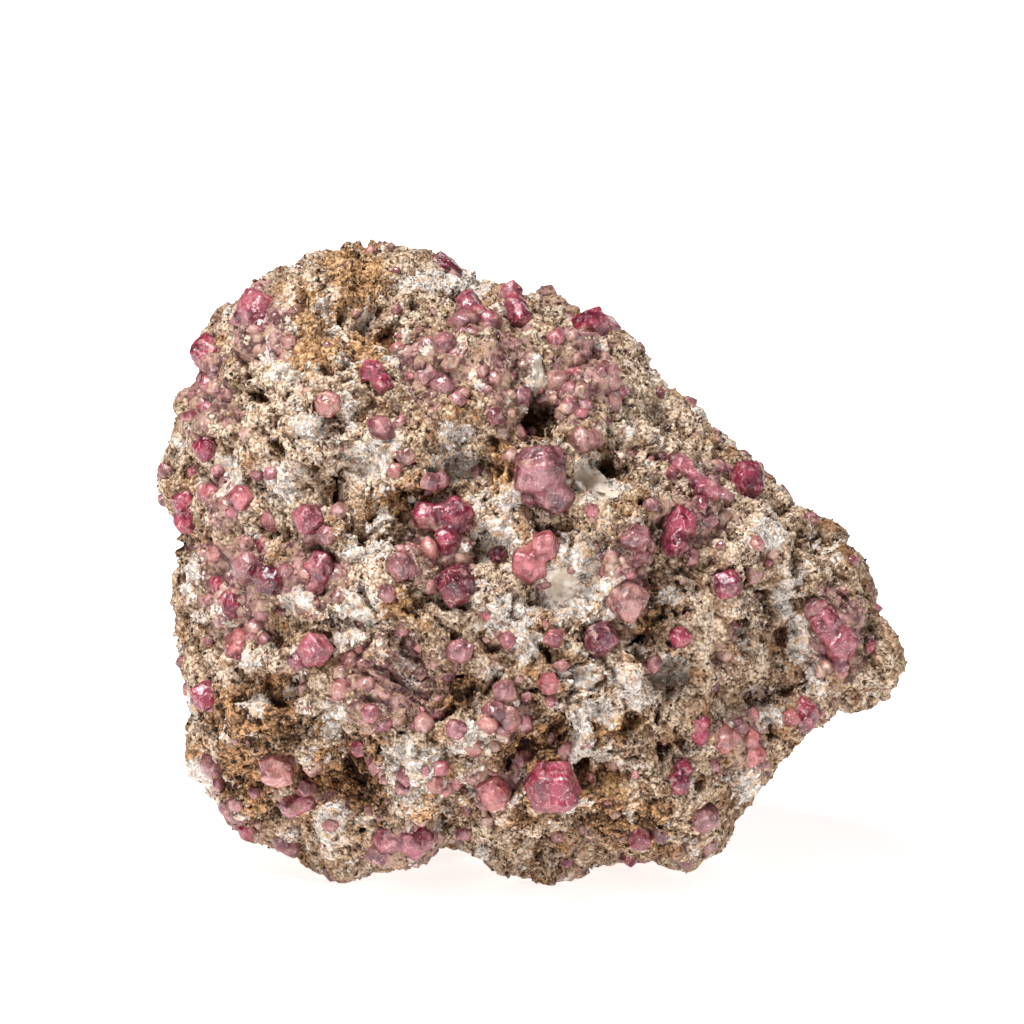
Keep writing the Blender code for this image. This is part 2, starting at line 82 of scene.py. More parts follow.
# Zones of the front view: x, z, half width and half height.
CALCITE_ZONES = [
    ("crown_vein", -12.4, 73.2, 4.2, 1.4),
    ("crown_vein_foot", -6.8, 74.0, 3.0, 2.0),
    ("upper_left_chip", -30.4, 62.1, 2.0, 1.2),
    ("upper_streak", -22.3, 58.4, 1.1, 2.2),
    ("knuckles", -27.3, 55.9, 2.6, 2.2),
    ("knuckles_right", -18.3, 54.0, 2.4, 1.4),
    ("slanting_strip", -8.8, 55.0, 3.4, 1.5),
    ("bridge_white", -2.4, 46.8, 1.8, 1.8),
    ("low_middle_lumps", -0.6, 28.6, 2.6, 2.4),
    ("low_flakes", 9.0, 13.4, 2.0, 1.6),
    ("vug_lining", -9.2, 50.9, 3.0, 2.2),
    ("left_middle_lumps", -20.8, 40.6, 3.6, 2.2),
    ("middle_lumps", -4.1, 42.1, 2.8, 3.6),
    ("silky_recess_high", 7.9, 48.8, 3.8, 3.0),
    ("silky_recess_low", 3.3, 36.1, 2.8, 3.0),
    ("snowy_bank", 6.4, 36.9, 5.4, 5.4),
    ("white_step", -20.6, 50.6, 3.4, 2.4),
    ("left_middle_bank", -31.2, 48.4, 2.6, 2.6),
    ("cream_bank", -21.6, 32.6, 3.2, 2.8),
    ("snowy_bank_foot", -2.4, 32.2, 4.6, 2.4),
    ("shoulder_bank", 29.8, 42.1, 2.4, 2.3),
    ("nose_vein_high", 32.9, 35.0, 1.3, 3.2),
    ("nose_vein_middle", 33.9, 29.0, 1.3, 3.4),
    ("nose_vein_low", 35.8, 24.0, 1.6, 2.2),
    ("low_crust_left", 6.9, 24.3, 2.0, 2.0),
    ("low_crust", 13.1, 22.5, 2.8, 2.6),
    ("grey_vug", 17.4, 24.9, 2.4, 2.3),
    ("grey_slab", 5.9, 16.5, 1.9, 4.2),
    ("bluish_chips", -7.3, 16.5, 3.4, 3.0),
    ("low_left_bank", -14.2, 12.8, 4.0, 4.8),
    ("left_flake", -34.6, 26.3, 2.4, 1.3),
    ("left_speck", -33.6, 20.9, 1.3, 1.7),
    ("cream_lump", -28.6, 34.0, 2.2, 1.8),
    ("left_edge_bank", -42.3, 36.5, 1.6, 3.2),
    ("pale_crystal", -22.7, 29.5, 2.0, 2.0),
    ("white_lump_low_left", -24.3, 18.6, 2.0, 3.2),
    ("white_lump_foot", -24.2, 7.1, 2.0, 2.2),
    ("grey_edge_low_right", 27.1, 11.0, 1.6, 2.4),
    ("edge_under_nose", 30.2, 19.6, 1.6, 1.5),
    ("bluish_blades", 1.4, 61.5, 1.3, 3.2),
    ("left_high_bank", -37.3, 49.6, 1.8, 3.0),
    ("middle_foot", 9.0, 20.0, 2.4, 1.6),
    ("right_of_cluster", 17.6, 34.6, 1.6, 1.3),
]
BROWN_ZONES = [
    ("left_edge", -40.4, 39.6, 2.4, 3.2),
    ("low_left", -34.4, 18.4, 5.4, 5.2),
    ("dark_low_left", -22.6, 10.8, 7.0, 5.4),
    ("low_left_corner", -36.6, 10.4, 4.2, 5.0),
    ("round_the_big_garnet", 3.3, 13.4, 7.4, 6.2),
    ("upper_middle", -2.9, 65.9, 2.0, 1.8),
    ("shaded_hollow", -13.3, 46.8, 4.8, 2.6),
    ("right_middle", 15.2, 34.0, 4.0, 2.6),
    ("foot_right", 13.0, 6.8, 5.0, 3.0),
    ("olive_hollow", -8.8, 23.6, 3.0, 2.2),
]
MAUVE_ZONES = [
    ("upper_bank", -11.4, 63.4, 5.4, 4.2),
    ("upper_middle", -2.9, 63.4, 3.6, 7.0),
    ("shoulder_lumps", 6.6, 62.6, 4.0, 6.0),
    ("upper_left_block", -33.8, 68.4, 4.4, 4.6),
    ("left_edge_high", -40.4, 60.2, 2.6, 6.0),
    ("left_high", -37.9, 46.5, 3.0, 3.8),
    ("left_middle", -36.8, 36.0, 4.6, 6.4),
    ("left_inner", -27.4, 37.8, 3.6, 5.6),
    ("layered_bank", -17.3, 24.0, 6.6, 5.2),
    ("layered_bank_low", -20.0, 20.2, 4.0, 1.8),
    ("middle_low", -2.3, 19.2, 3.0, 3.0),
    ("right_middle", 12.6, 37.6, 2.6, 4.8),
    ("right_cluster", 20.4, 44.0, 4.6, 3.6),
    ("centre_cluster", -11.0, 41.0, 4.6, 5.0),
    ("low_centre", -5.4, 10.4, 3.6, 3.4),
    ("underside", -14.4, 3.4, 5.2, 2.4),
    ("nose", 38.6, 29.4, 4.2, 5.4),
    ("low_right_edge", 27.4, 15.8, 2.6, 4.0),
    ("low_left_edge", -37.4, 6.6, 2.0, 2.6),
]
LAYERED_ZONES = [
    ("layered_bank", -16.8, 24.4, 5.6, 4.2),
    ("layered_bank_low", -20.0, 20.6, 3.6, 1.8),
]
CALM_ZONES = [
    ("silky_recess_high", 7.9, 48.8, 2.8, 2.2),
    ("silky_recess_low", 3.8, 36.2, 1.8, 2.1),
    ("fine_sandy_face", 24.6, 26.5, 5.2, 7.5),
    ("bluish_blades", 1.4, 61.5, 1.0, 2.8),
]
PALE_ZONES = [
    ("crown", -24.0, 69.0, 8.0, 5.0),
    ("upper_left", -31.0, 60.0, 7.0, 7.0),
    ("knuckles", -26.0, 54.0, 7.0, 4.0),
    ("cream_left", -21.0, 34.0, 6.0, 7.0),
    ("white_step", -20.0, 50.0, 5.0, 3.4),
    ("left_middle", -31.0, 48.0, 4.4, 4.0),
    ("middle_bridge", -3.6, 49.0, 3.0, 3.6),
    ("snowy_bank", 8.0, 37.0, 5.0, 4.0),
    ("right_shoulder_foot", 25.0, 33.5, 4.0, 2.6),
    ("low_crust", 11.0, 22.0, 6.5, 5.0),
    ("low_middle", 10.0, 13.5, 5.5, 4.0),
    ("shoulder", 27.0, 42.0, 7.0, 6.0),
    ("shoulder_edge", 15.0, 57.0, 5.0, 7.0),
    ("centre", -7.0, 36.0, 6.0, 6.0),
    ("left_edge_low", -37.5, 22.0, 5.0, 6.0),
]
OCHRE_ZONES = [
    ("crown_ridge", -21.5, 74.0, 3.6, 4.6),
    ("crown_flank", -26.4, 67.0, 3.4, 5.4),
    ("crown_foot", -19.6, 65.4, 2.6, 3.6),
    ("over_the_mauve_bank", -4.2, 68.4, 1.8, 1.6),
    ("middle_bridge", -3.6, 50.4, 2.4, 3.8),
    ("shaded_hollow", -15.6, 46.2, 4.0, 2.2),
    ("cream_lump_top", -16.0, 33.6, 3.0, 2.0),
    ("left_low", -35.0, 20.0, 4.6, 3.4),
    ("by_the_big_garnet", 0.6, 14.6, 6.0, 3.2),
    ("right_of_the_big_garnet", 9.4, 10.0, 3.0, 3.4),
    ("right_crevice", 14.2, 32.0, 3.0, 3.0),
    ("low_middle", 11.6, 18.4, 3.0, 2.0),
    ("foot_middle", -13.6, 8.0, 2.4, 1.6),
]

# Hollows of the front view: x, z, half width, half height and depth.
VUGS = [
    ("grey_vug", 17.3, 24.5, 2.7, 2.3, 2.0),
    ("middle_vug", -9.4, 50.2, 3.4, 1.8, 1.9),
    ("cleft", 1.6, 57.4, 1.8, 3.4, 1.4),
    ("shaded_hollow", -13.6, 46.4, 3.0, 1.8, 1.6),
    ("plum_hole", -5.4, 40.8, 1.5, 2.0, 2.4),
    ("crack_upper_left", -35.0, 59.8, 1.8, 1.4, 2.6),
    ("small_pit", 26.4, 30.4, 1.6, 1.5, 1.8),
    ("silky_recess_high", 7.9, 48.8, 3.6, 2.8, 1.0),
    ("silky_recess_low", 3.6, 35.6, 2.8, 2.8, 1.0),
    ("under_the_big_garnet", -1.6, 12.0, 1.6, 2.0, 1.6),
    ("gap_under_garnets", -9.4, 2.6, 2.8, 1.4, 2.6),
    ("olive_hollow", -8.8, 23.8, 2.2, 1.8, 1.0),
    ("dark_low_left", -24.6, 13.4, 3.6, 3.2, 1.0),
    ("upper_left_gap", -24.0, 47.6, 2.4, 1.4, 2.0),
    ("below_left_bank", -33.4, 24.0, 2.6, 1.2, 1.8),
    ("by_the_nose", 29.6, 21.6, 1.6, 1.8, 1.8),
    ("right_crevice", 13.0, 29.6, 2.2, 1.4, 1.8),
    ("crown_notch", -7.6, 71.6, 1.8, 1.2, 1.6),
]

# Small garnets of the front view by tone: x, z and radius.
SMALL_GARNETS = {
    "raspberry": [
        (-41.6, 49.9, 1.1), (-9.9, 41.8, 1.5), (-32.9, 40.8, 1.4), (-38.8, 36.0, 1.3), (-21.2, 15.5, 1.1),
        (-34.9, 5.0, 1.5), (12.6, 1.9, 1.2), (42.7, 28.0, 1.0),
    ],
    "mauve": [
        (-38.9, 50.1, 0.9), (-18.4, 55.6, 1.5), (-8.1, 68.8, 1.8), (-7.1, 67.2, 1.2), (9.4, 68.1, 1.8),
        (-12.7, 61.8, 1.6), (-10.7, 60.8, 1.2), (-8.9, 59.1, 1.0), (-4.1, 56.9, 1.1), (0.4, 55.0, 0.8),
        (12.8, 52.1, 0.9), (20.1, 58.5, 1.0), (18.7, 51.2, 1.4), (24.4, 46.8, 1.1), (15.3, 45.9, 0.9),
        (-17.7, 34.8, 1.2), (-12.3, 48.8, 1.1), (-6.4, 50.1, 0.9), (22.4, 43.8, 1.4), (13.4, 41.8, 1.8),
        (15.8, 26.1, 1.1), (-33.8, 49.8, 0.9), (-23.6, 45.0, 1.1), (-25.2, 42.1, 1.2), (-35.4, 38.0, 1.6),
        (-30.4, 37.6, 1.0), (-33.3, 32.4, 1.2), (-32.9, 29.0, 1.0), (-39.9, 28.9, 0.8), (-43.3, 26.2, 0.9),
        (-27.8, 10.4, 1.1), (-39.7, 13.5, 1.5), (-38.8, 11.0, 1.0), (-34.4, 10.0, 0.8), (-36.6, 8.5, 1.0),
        (-24.6, 5.8, 1.1), (-18.9, 2.2, 1.4), (-11.6, 19.8, 1.1), (-4.1, 20.1, 1.6), (-3.2, 17.9, 1.0),
        (-12.9, 12.6, 0.6), (-7.3, 8.1, 1.2), (-7.8, 5.0, 1.2), (3.6, 4.5, 0.8), (14.1, 4.4, 1.2),
        (35.9, 32.8, 1.6), (35.3, 44.1, 0.9), (-45.4, 50.1, 1.0), (-45.6, 46.5, 0.9), (-18.6, 61.4, 1.0),
    ],
    "pink": [
        (-2.1, 72.2, 1.5), (-4.9, 69.1, 1.2), (-0.9, 69.9, 0.9), (16.3, 60.0, 0.8), (17.9, 49.9, 0.9),
        (21.7, 46.1, 1.0), (23.7, 50.5, 0.9), (-14.6, 40.4, 0.8), (8.1, 45.0, 0.9), (3.2, 29.2, 1.1),
        (2.1, 31.0, 0.6), (29.9, 38.6, 0.6), (-39.8, 47.1, 1.6), (-35.8, 46.8, 1.6), (-32.2, 49.8, 0.9),
        (-32.3, 43.8, 1.2), (-37.8, 34.0, 1.1), (-30.9, 32.6, 0.6), (-19.8, 19.9, 1.1), (2.8, 21.4, 0.6),
        (4.1, 25.8, 0.9), (-15.4, 12.0, 1.2), (-10.9, 13.0, 1.0), (9.8, 8.8, 0.5), (40.4, 38.8, 0.9),
    ],
    "plum": [(-3.6, 39.6, 1.2), (-28.9, 26.5, 1.2), (-30.9, 3.8, 1.2), (4.8, 1.4, 1.0)],
    "peach": [
        (-12.3, 40.4, 1.4), (-12.3, 35.8, 1.1), (-16.9, 50.1, 1.1), (10.1, 37.8, 1.4), (28.6, 41.1, 0.9),
        (-39.3, 40.0, 1.1), (-22.4, 26.8, 1.2), (-23.4, 22.8, 1.4), (-4.9, 18.6, 1.1), (-6.8, 15.5, 1.1),
        (-11.7, 11.0, 1.2), (24.7, 16.6, 1.5), (13.4, 12.2, 0.5), (38.9, 25.1, 1.2), (-16.4, 65.4, 0.9),
    ],
    "coral": [(3.9, 29.6, 0.9)],
    "salmon": [(32.9, 19.2, 1.2)],
}

# Garnet tones as a painter would name them: the deep and the lit colour, as red, green and blue out of 255.
GARNET_TONES = {
    "raspberry": ((92, 24, 42), (162, 62, 84)),
    "magenta": ((88, 18, 40), (146, 44, 72)),
    "deep": ((64, 14, 28), (120, 38, 54)),
    "rose": ((98, 40, 52), (166, 90, 102)),
    "smoky": ((84, 40, 48), (162, 108, 114)),
    "pink": ((118, 58, 66), (176, 106, 112)),
    "coral": ((128, 60, 64), (188, 112, 114)),
    "salmon": ((128, 62, 62), (188, 114, 112)),
    "peach": ((130, 76, 70), (186, 130, 122)),
    "mauve": ((98, 56, 60), (162, 110, 112)),
    "dusty": ((112, 72, 68), (174, 130, 122)),
    "plum": ((70, 22, 38), (124, 48, 68)),
    "crusted": ((122, 92, 76), (186, 154, 134)),
}

# Crystals whose tone their name doesn't tell.
CRYSTALS_OF_TONE = {
    "smoky": ("pair_large", "gloss_low", "top_back"),
    "deep": ("deep_centre", "pair_left", "crest", "back_low"),
    "rose": (
        "round_left", "granular_left", "pair_inner_left", "group_nose", "pair_block", "group_shoulder",
        "group_underside", "group_crest", "pair_low_left", "back_high", "back_right", "left_face",
    ),
    "magenta": ("round_right", "shoulder", "tall_low_right"),
}
TONE_OF_CRYSTAL = {"garnet_" + name: tone for tone, names in CRYSTALS_OF_TONE.items() for name in names}

# How many times the faces of a crystal are evened out: the smoky and dusty ones are rounder.
ROUNDING = {"smoky": 32, "dusty": 16, "mauve": 14, "rose": 8}

# The scattered grains of the rock: how many, and the smallest and largest radius.
TAN_GRAINS = (15000, 0.13, 0.36)
CALCITE_GRAINS = (9000, 0.14, 0.42)
TINY_GARNETS = (1000, 0.5, 1.9)


# Reading the frame


def tree_of(meshes):
    """One search tree, in millimetres, of all the meshes."""
    points, faces = [], []
    for mesh in meshes:
        mesh.calc_loop_triangles()
        first = len(points)
        points += [v.co / MM for v in mesh.vertices]
        faces += [[first + corner for corner in triangle.vertices] for triangle in mesh.loop_triangles]
    return BVHTree.FromPolygons(points, faces)


def seen_from_front(points):
    """Each point's x and z as the front view has them, and how far it lies beyond the core."""
    from_core = points - np.array(CORE)
    away = from_core @ np.array(AWAY)
    narrowed = 1 + away / VIEW_DISTANCE
    x = MIDDLE_X + (CORE_X + from_core @ np.array(RIGHT) - MIDDLE_X) / narrowed
    z = MIDDLE_Z + (CORE_Z + from_core @ np.array(UP) - MIDDLE_Z) / narrowed
    return x, z, away


def smoothstep(low, high, value):
    share = np.clip((value - low) / (high - low), 0, 1)
    return share * share * (3 - 2 * share)


# Noise


def rolling(points, wavelength, shift=0.0):
    """Smooth noise from -1 to 1."""
    return np.array([noise.noise(Vector(p)) for p in points / wavelength + shift])


def cells(points, size, shift=0.0):
    """The distances to the nearest and second nearest of scattered seeds, in units of size."""
    near = [noise.voronoi(Vector(p))[0][:2] for p in points / size + shift]
    return np.array(near).T


# The rock


def blown_up_cube(quads):
    """A cube cut into quads: its corners on the cube, and its faces."""
    mesh = bmesh.new()
    bmesh.ops.create_cube(mesh, size=2.0)
    bmesh.ops.subdivide_edges(mesh, edges=mesh.edges[:], cuts=quads - 1, use_grid_fill=True)
    corners = np.array([v.co for v in mesh.verts])
    faces = np.array([[v.index for v in face.verts] for face in mesh.faces])
    mesh.free()
    return corners, faces


def ways_from_core(corners):
    """The way each corner lies from the core as (right, away, up), crowded towards the front."""
    ways = np.tan(corners * math.pi / 4)
    ways /= np.linalg.norm(ways, axis=1)[:, None]
    facing = -ways[:, 1]
    opening = np.sqrt((1 - facing) / (1 + facing + 1e-9)) / FRONT_CROWDING
    crowded = (1 - opening**2) / (1 + opening**2)
    round_it = np.sqrt(np.maximum(1 - crowded**2, 0)) / np.maximum(np.sqrt(1 - facing**2), 1e-9)
    return np.stack((ways[:, 0] * round_it, -crowded, ways[:, 2] * round_it), axis=1)


class Net:
    """The rock mesh's neighbours, for spreading values over it."""

    def __init__(self, faces, count):
        sides = np.concatenate([faces[:, [i, (i + 1) % 4]] for i in range(4)])
        self.pairs = np.unique(np.sort(sides, axis=1), axis=0)
        self.count = count
        self.degree = np.bincount(self.pairs.ravel(), minlength=count)

    def mean_of_neighbours(self, values):
        a, b = self.pairs.T
        total = np.bincount(a, values[b], self.count) + np.bincount(b, values[a], self.count)
        return total / self.degree

    def spread(self, values, rounds, where=None):
        values = values.astype(float)
        for _ in range(rounds):
            mean = self.mean_of_neighbours(values)
            values = mean if where is None else np.where(where, mean, values)
        return values


def normals_of(points, faces):
    diagonals = points[faces[:, 2]] - points[faces[:, 0]], points[faces[:, 3]] - points[faces[:, 1]]
    across = np.cross(*diagonals)
    normals = np.zeros_like(points)
    for corner in range(4):
        for axis in range(3):
            normals[:, axis] += np.bincount(faces[:, corner], across[:, axis], len(points))
    return normals / np.maximum(np.linalg.norm(normals, axis=1), 1e-12)[:, None]


def read_form(ways, net, rock_tree, garnet_tree):
    """How far the rock reaches each way, under the garnets too, and how deep its garnets lie over it."""
    reach = np.empty(len(ways))
    lid = np.full(len(ways), np.inf)
    for i, way in enumerate(ways @ np.array((RIGHT, AWAY, UP))):
        way = Vector(way)
        start = CORE + way * OUTSIDE
        reach[i] = OUTSIDE - rock_tree.ray_cast(start, -way)[3]
        to_garnet = garnet_tree.ray_cast(start, -way)[3]
        if to_garnet is not None:
            lid[i] = OUTSIDE - to_garnet
    covered = np.isfinite(lid) & (lid > reach)
    reach = net.spread(net.spread(reach, ROUNDS_UNDER_GARNETS, where=covered), 1)
    front = smoothstep(0.25, -0.25, ways[:, 1])
    return reach + DEEPENING * front * (reach - net.spread(reach, ROUNDS_FOR_LUMPS)), lid, covered


def zone_mask(zones, x, z, ragged):
    """1 inside any of the zones, 0 outside, with ragged edges."""
    mask = np.zeros(len(x))
    for _, zone_x, zone_z, half_width, half_height in zones:
        out = np.hypot((x - zone_x) / half_width, (z - zone_z) / half_height)
        mask = np.maximum(mask, smoothstep(1.5, 0.5, out + ragged))
    return mask


def zone_masks(points):
    """Where the rock is calcite, brown, mauve, layered, calm, pale, ochre or silky, and its vugs' depth."""
    x, z, away = seen_from_front(points)
    ragged = 0.35 * rolling(points, 2.6, 5.1) + 0.25 * rolling(points, 1.1, 9.7)
    front = smoothstep(7.0, -3.0, away + 3 * rolling(points, 6.0, 2.2))
    masks = {}
    for name, zones, wavelength, least in (
        ("calcite", CALCITE_ZONES, 5.5, 0.20),
        ("brown", BROWN_ZONES, 12.0, 0.10),
        ("mauve", MAUVE_ZONES, 10.0, 0.08),
        ("layered", LAYERED_ZONES, 13.0, 0.25),
        ("calm", CALM_ZONES, 8.0, 0.35),
        ("pale", PALE_ZONES, 11.0, 0.0),
        ("ochre", OCHRE_ZONES, 7.0, 0.12),
    ):
        patchy = rolling(points, wavelength, 31.0 + wavelength)
        elsewhere = smoothstep(least - 0.05, least + 0.25, patchy + 0.3 * ragged)
        masks[name] = front * zone_mask(zones, x, z, ragged) + (1 - front) * elsewhere
    frosting = smoothstep(0.05, 0.45, rolling(points, 2.3, 77.0))
    frosting *= 0.62 * smoothstep(-0.4, 0.1, rolling(points, 9.0, 57.0))
    masks["calcite"] = np.maximum(0.95 * masks["calcite"], frosting)
    pinkish = 0.42 * smoothstep(0.15, 0.5, rolling(points, 4.4, 87.0)) * (1 - 0.8 * masks["pale"])
    masks["mauve"] = np.maximum(0.85 * masks["mauve"], pinkish)
    masks["layered"] *= smoothstep(0.2, 0.5, masks["mauve"])
    masks["silky"] = masks["calm"] * smoothstep(0.5, 0.8, masks["calcite"])
    vugs = 3.0 * smoothstep(0.42, 0.6, rolling(points, 7.0, 38.0)) * (1 - front)
    for _, vug_x, vug_z, half_width, half_height, depth in VUGS:
        out = np.hypot((x - vug_x) / half_width, (z - vug_z) / half_height) + 0.6 * ragged
        vugs = np.maximum(vugs, depth * front * smoothstep(1.15, 0.6, out))
    masks["vug_depth"] = vugs
    return masks


def rock_relief(points, masks, quiet):
    """How far each point of the rock stands out. Quiet is 1 beside a garnet, where the rock laps up it."""
    calm = np.maximum(masks["calm"], 0.5 * quiet)
    fused = masks["mauve"]
    rough = (1 - 0.7 * calm) * (1 - 0.55 * fused) * (1 - 0.4 * masks["layered"])
    lively = 1 + 0.4 * masks["brown"]
    rolls = 2.3 * rolling(points, 9.0, 3.0) + 1.6 * rolling(points, 3.9, 11.0)
    boulders = 0.5 - cells(points, 4.6, 18.0)[0]
    knobs = 0.55 - cells(points, 2.9, 13.0)[0]
    clumps = 0.5 - cells(points, 2.3, 4.0)[0]
    lumps = 0.5 - cells(points, 1.15, 8.0)[0]
    granules = 0.5 - cells(points, 0.62, 28.0)[0]
    first, second = cells(points, 4.4, 15.0)
    cracks = smoothstep(0.2, 0.0, second - first) * smoothstep(-0.1, 0.3, rolling(points, 8.0, 41.0))
    pits = smoothstep(0.2, 0.5, rolling(points, 2.6, 33.0))
    pores = smoothstep(0.1, 0.4, rolling(points, 1.35, 21.0))
    pores += 0.8 * smoothstep(0.15, 0.45, rolling(points, 0.75, 27.0))
    relief = (rolls + 2.2 * boulders) * (1 - 0.55 * calm) + 1.5 * fused * knobs
    relief += (1.25 * clumps + 0.75 * lumps + 0.42 * granules) * rough
    relief -= (0.55 * pores * lively + 1.1 * cracks + 1.4 * pits) * rough
    bedding = points @ LAYER_WAY / LAYER_THICKNESS + 0.9 * rolling(points, 6.0, 63.0)
    relief += 1.3 * masks["layered"] * (0.5 - bedding % 1)
    relief += 0.35 * fused + 0.2 * masks["calcite"] - masks["vug_depth"]
    outward = MOST_OUTWARD * (1 - np.exp(-np.maximum(relief, 0) / MOST_OUTWARD))
    held = np.maximum(np.where(relief > 0, outward, relief), -MOST_INWARD)
    return held + LAP * quiet * (masks["vug_depth"] < 1.5)


def rock_surface(corners, faces, rock_tree, garnet_tree):
    """The rock's points, its masks, and which of them lie under a garnet."""
    net = Net(faces, len(corners))
    ways = ways_from_core(corners)
    reach, lid, covered = read_form(ways, net, rock_tree, garnet_tree)
    world_ways = ways @ np.array((RIGHT, AWAY, UP))
    plain = np.array(CORE) + world_ways * reach[:, None]
    near = np.array([garnet_tree.find_nearest(Vector(p), 2.5)[3] or 2.5 for p in plain])
    quiet = smoothstep(1.9, 0.2, np.where(covered, 0.0, near))
    masks = zone_masks(plain)
    relief = rock_relief(plain, masks, quiet)
    sideways = np.stack([rolling(plain, 2.2, shift) for shift in (51.0, 61.0, 71.0)], axis=1)
    points = plain + normals_of(plain, faces) * relief[:, None] + 0.45 * sideways * (1 - quiet)[:, None]
    from_core = points - np.array(CORE)
    far = np.linalg.norm(from_core, axis=1)
    allowed = np.where(covered, np.minimum(far, lid - 0.7), far)
    points = np.array(CORE) + from_core * (allowed / far)[:, None]
    points = flat_footed(points)
    # How far each point lies below its evened-out neighbours: the material darkens these hollows with
    # painted shade.
    hollow = np.stack([net.spread(points[:, axis], 10) for axis in range(3)], axis=1) - points
    masks["hollow"] = smoothstep(0.02, 0.42, np.sum(hollow * normals_of(points, faces), axis=1))
    return points, masks, covered


def flat_footed(points):
    """What reaches under the ground is drawn back towards the core until it lies on it."""
    from_core = points - np.array(CORE)
    under = points[:, 2] < 0
    share = np.ones(len(points))
    share[under] = CORE.z / (CORE.z - points[under, 2])
    footed = np.array(CORE) + from_core * share[:, None]
    footed[under, 2] = 0.0
    return footed


def add_object(name, data):
    made = bpy.data.objects.new(name, data)
    bpy.context.scene.collection.objects.link(made)
    return made


def mesh_from(name, points, faces):
    """A mesh object in metres from points in millimetres. All its faces have as many corners."""
    faces = np.asarray(faces)
    sides = faces.shape[1]
    mesh = bpy.data.meshes.new(name)
    mesh.vertices.add(len(points))
    mesh.vertices.foreach_set("co", (np.asarray(points) * MM).astype(np.float32).ravel())
    mesh.loops.add(faces.size)
    mesh.loops.foreach_set("vertex_index", faces.astype(np.int32).ravel())
    mesh.polygons.add(len(faces))
    mesh.polygons.foreach_set("loop_start", np.arange(0, faces.size, sides, dtype=np.int32))
    mesh.update(calc_edges=True)
    mesh.validate()
    return add_object(name, mesh)


def store_colour(made, name, channels):
    """Keeps up to four values for each point, for the material to read."""
    values = np.zeros((len(made.data.vertices), 4), np.float32)
    for place, channel in enumerate(channels):
        values[:, place] = channel
    made.data.attributes.new(name, "FLOAT_COLOR", "POINT").data.foreach_set("color", values.ravel())


def sides_of(corners, faces):
    """Which side of the cube each face is on."""
    middle = corners[faces].mean(axis=1)
    axis = np.abs(middle).argmax(axis=1)
    return axis + 3 * (middle[np.arange(len(axis)), axis] > 0)


def store_chart_map(made, corners, faces, sides, order):
    """The bake's map of one half of the rock: its three sides of the cube, two across and two up."""
    flat = np.array([(1, 2), (0, 2), (0, 1)])[sides % 3]
    on_side = np.take_along_axis(corners[faces], flat[:, None, :].repeat(4, axis=1), axis=2)
    place = np.array([order.index(side) for side in sides])
    column, row = (place % 2)[:, None], (place // 2)[:, None]
    u = (column + 0.5 + 0.49 * on_side[:, :, 0]) / 2
    v = (row + 0.5 + 0.49 * on_side[:, :, 1]) / 2
    store_bake_map(made, np.stack((u, v), axis=2))


def store_bake_map(made, places):
    layer = made.data.uv_layers.new(name="OFBake")
    layer.data.foreach_set("uv", places.astype(np.float32).ravel())


def shade_smooth(made, smooth=True):
    made.data.polygons.foreach_set("use_smooth", [smooth] * len(made.data.polygons))


def build_rock(rock_tree, garnet_tree):
    """The rock's two halves, and the points, faces, masks and covered points of the whole."""
    corners, faces = blown_up_cube(ROCK_QUADS)
    points, masks, covered = rock_surface(corners, faces, rock_tree, garnet_tree)
    normals = normals_of(points, faces)
    sides = sides_of(corners, faces)
    halves = []
    for name, order in ROCK_HALVES.items():
        shown = np.isin(sides, order)
        used, own = np.unique(faces[shown], return_inverse=True)
        half = mesh_from(name, points[used], own.reshape(-1, 4))
        shade_smooth(half)
        half.data.normals_split_custom_set_from_vertices(normals[used].tolist())
        store_colour(half, "zones", [masks[key][used] for key in ("calcite", "brown", "mauve", "hollow")])
        even_tone = np.full(len(used), 0.5)
        store_colour(half, "grain", [even_tone] + [masks[key][used] for key in ("silky", "pale", "ochre")])
        store_chart_map(half, corners, faces[shown], sides[shown], order)
        halves.append(half)
    return halves, (points, faces, masks, covered)


# Garnets


def laplacian(points, pairs, rounds, share=0.5):
    """Evens the points out a little."""
    a, b = pairs.T
    degree = np.maximum(np.bincount(pairs.ravel(), minlength=len(points)), 1)
    for _ in range(rounds):
        mean = np.stack(
            [np.bincount(a, p[b], len(p)) + np.bincount(b, p[a], len(p)) for p in points.T], axis=1
        ) / degree[:, None]
        points = points + share * (mean - points)
    return points


def read_all(rows, value, width, kind=float):
    """A value of every vertex or edge, a row for each."""
    values = np.empty(len(rows) * width, kind)
    rows.foreach_get(value, values)
    return values.reshape(-1, width)


def refined(node, voxel):
    """A copy of the node's mesh with small, even faces."""
    copy = add_object(node.name + "_crystal", node.data.copy())
    remesh = copy.modifiers.new("even_faces", "REMESH")
    remesh.mode = "VOXEL"
    remesh.voxel_size = voxel * MM
    evaluated = copy.evaluated_get(bpy.context.evaluated_depsgraph_get())
    mesh = bpy.data.meshes.new_from_object(evaluated)
    bpy.data.objects.remove(copy)
    points = read_all(mesh.vertices, "co", 3) / MM
    pairs = read_all(mesh.edges, "vertices", 2, np.int32)
    return mesh, points, pairs, read_all(mesh.vertices, "normal", 3, np.float32)


def worn(points, normals):
    """A garnet's faces with growth steps, dimples and chipped edges."""
    steps = np.round(3 * rolling(points, 1.7, 6.0)) / 3
    dimples = rolling(points, 0.8, 16.0)
    chips = smoothstep(0.35, 0.6, rolling(points, 1.25, 36.0))
    height = 0.10 * steps + 0.06 * dimples + 0.05 * rolling(points, 0.42, 26.0) - 0.28 * chips
    height += 0.22 * rolling(points, 3.1, 46.0)
    return points + normals * height[:, None]


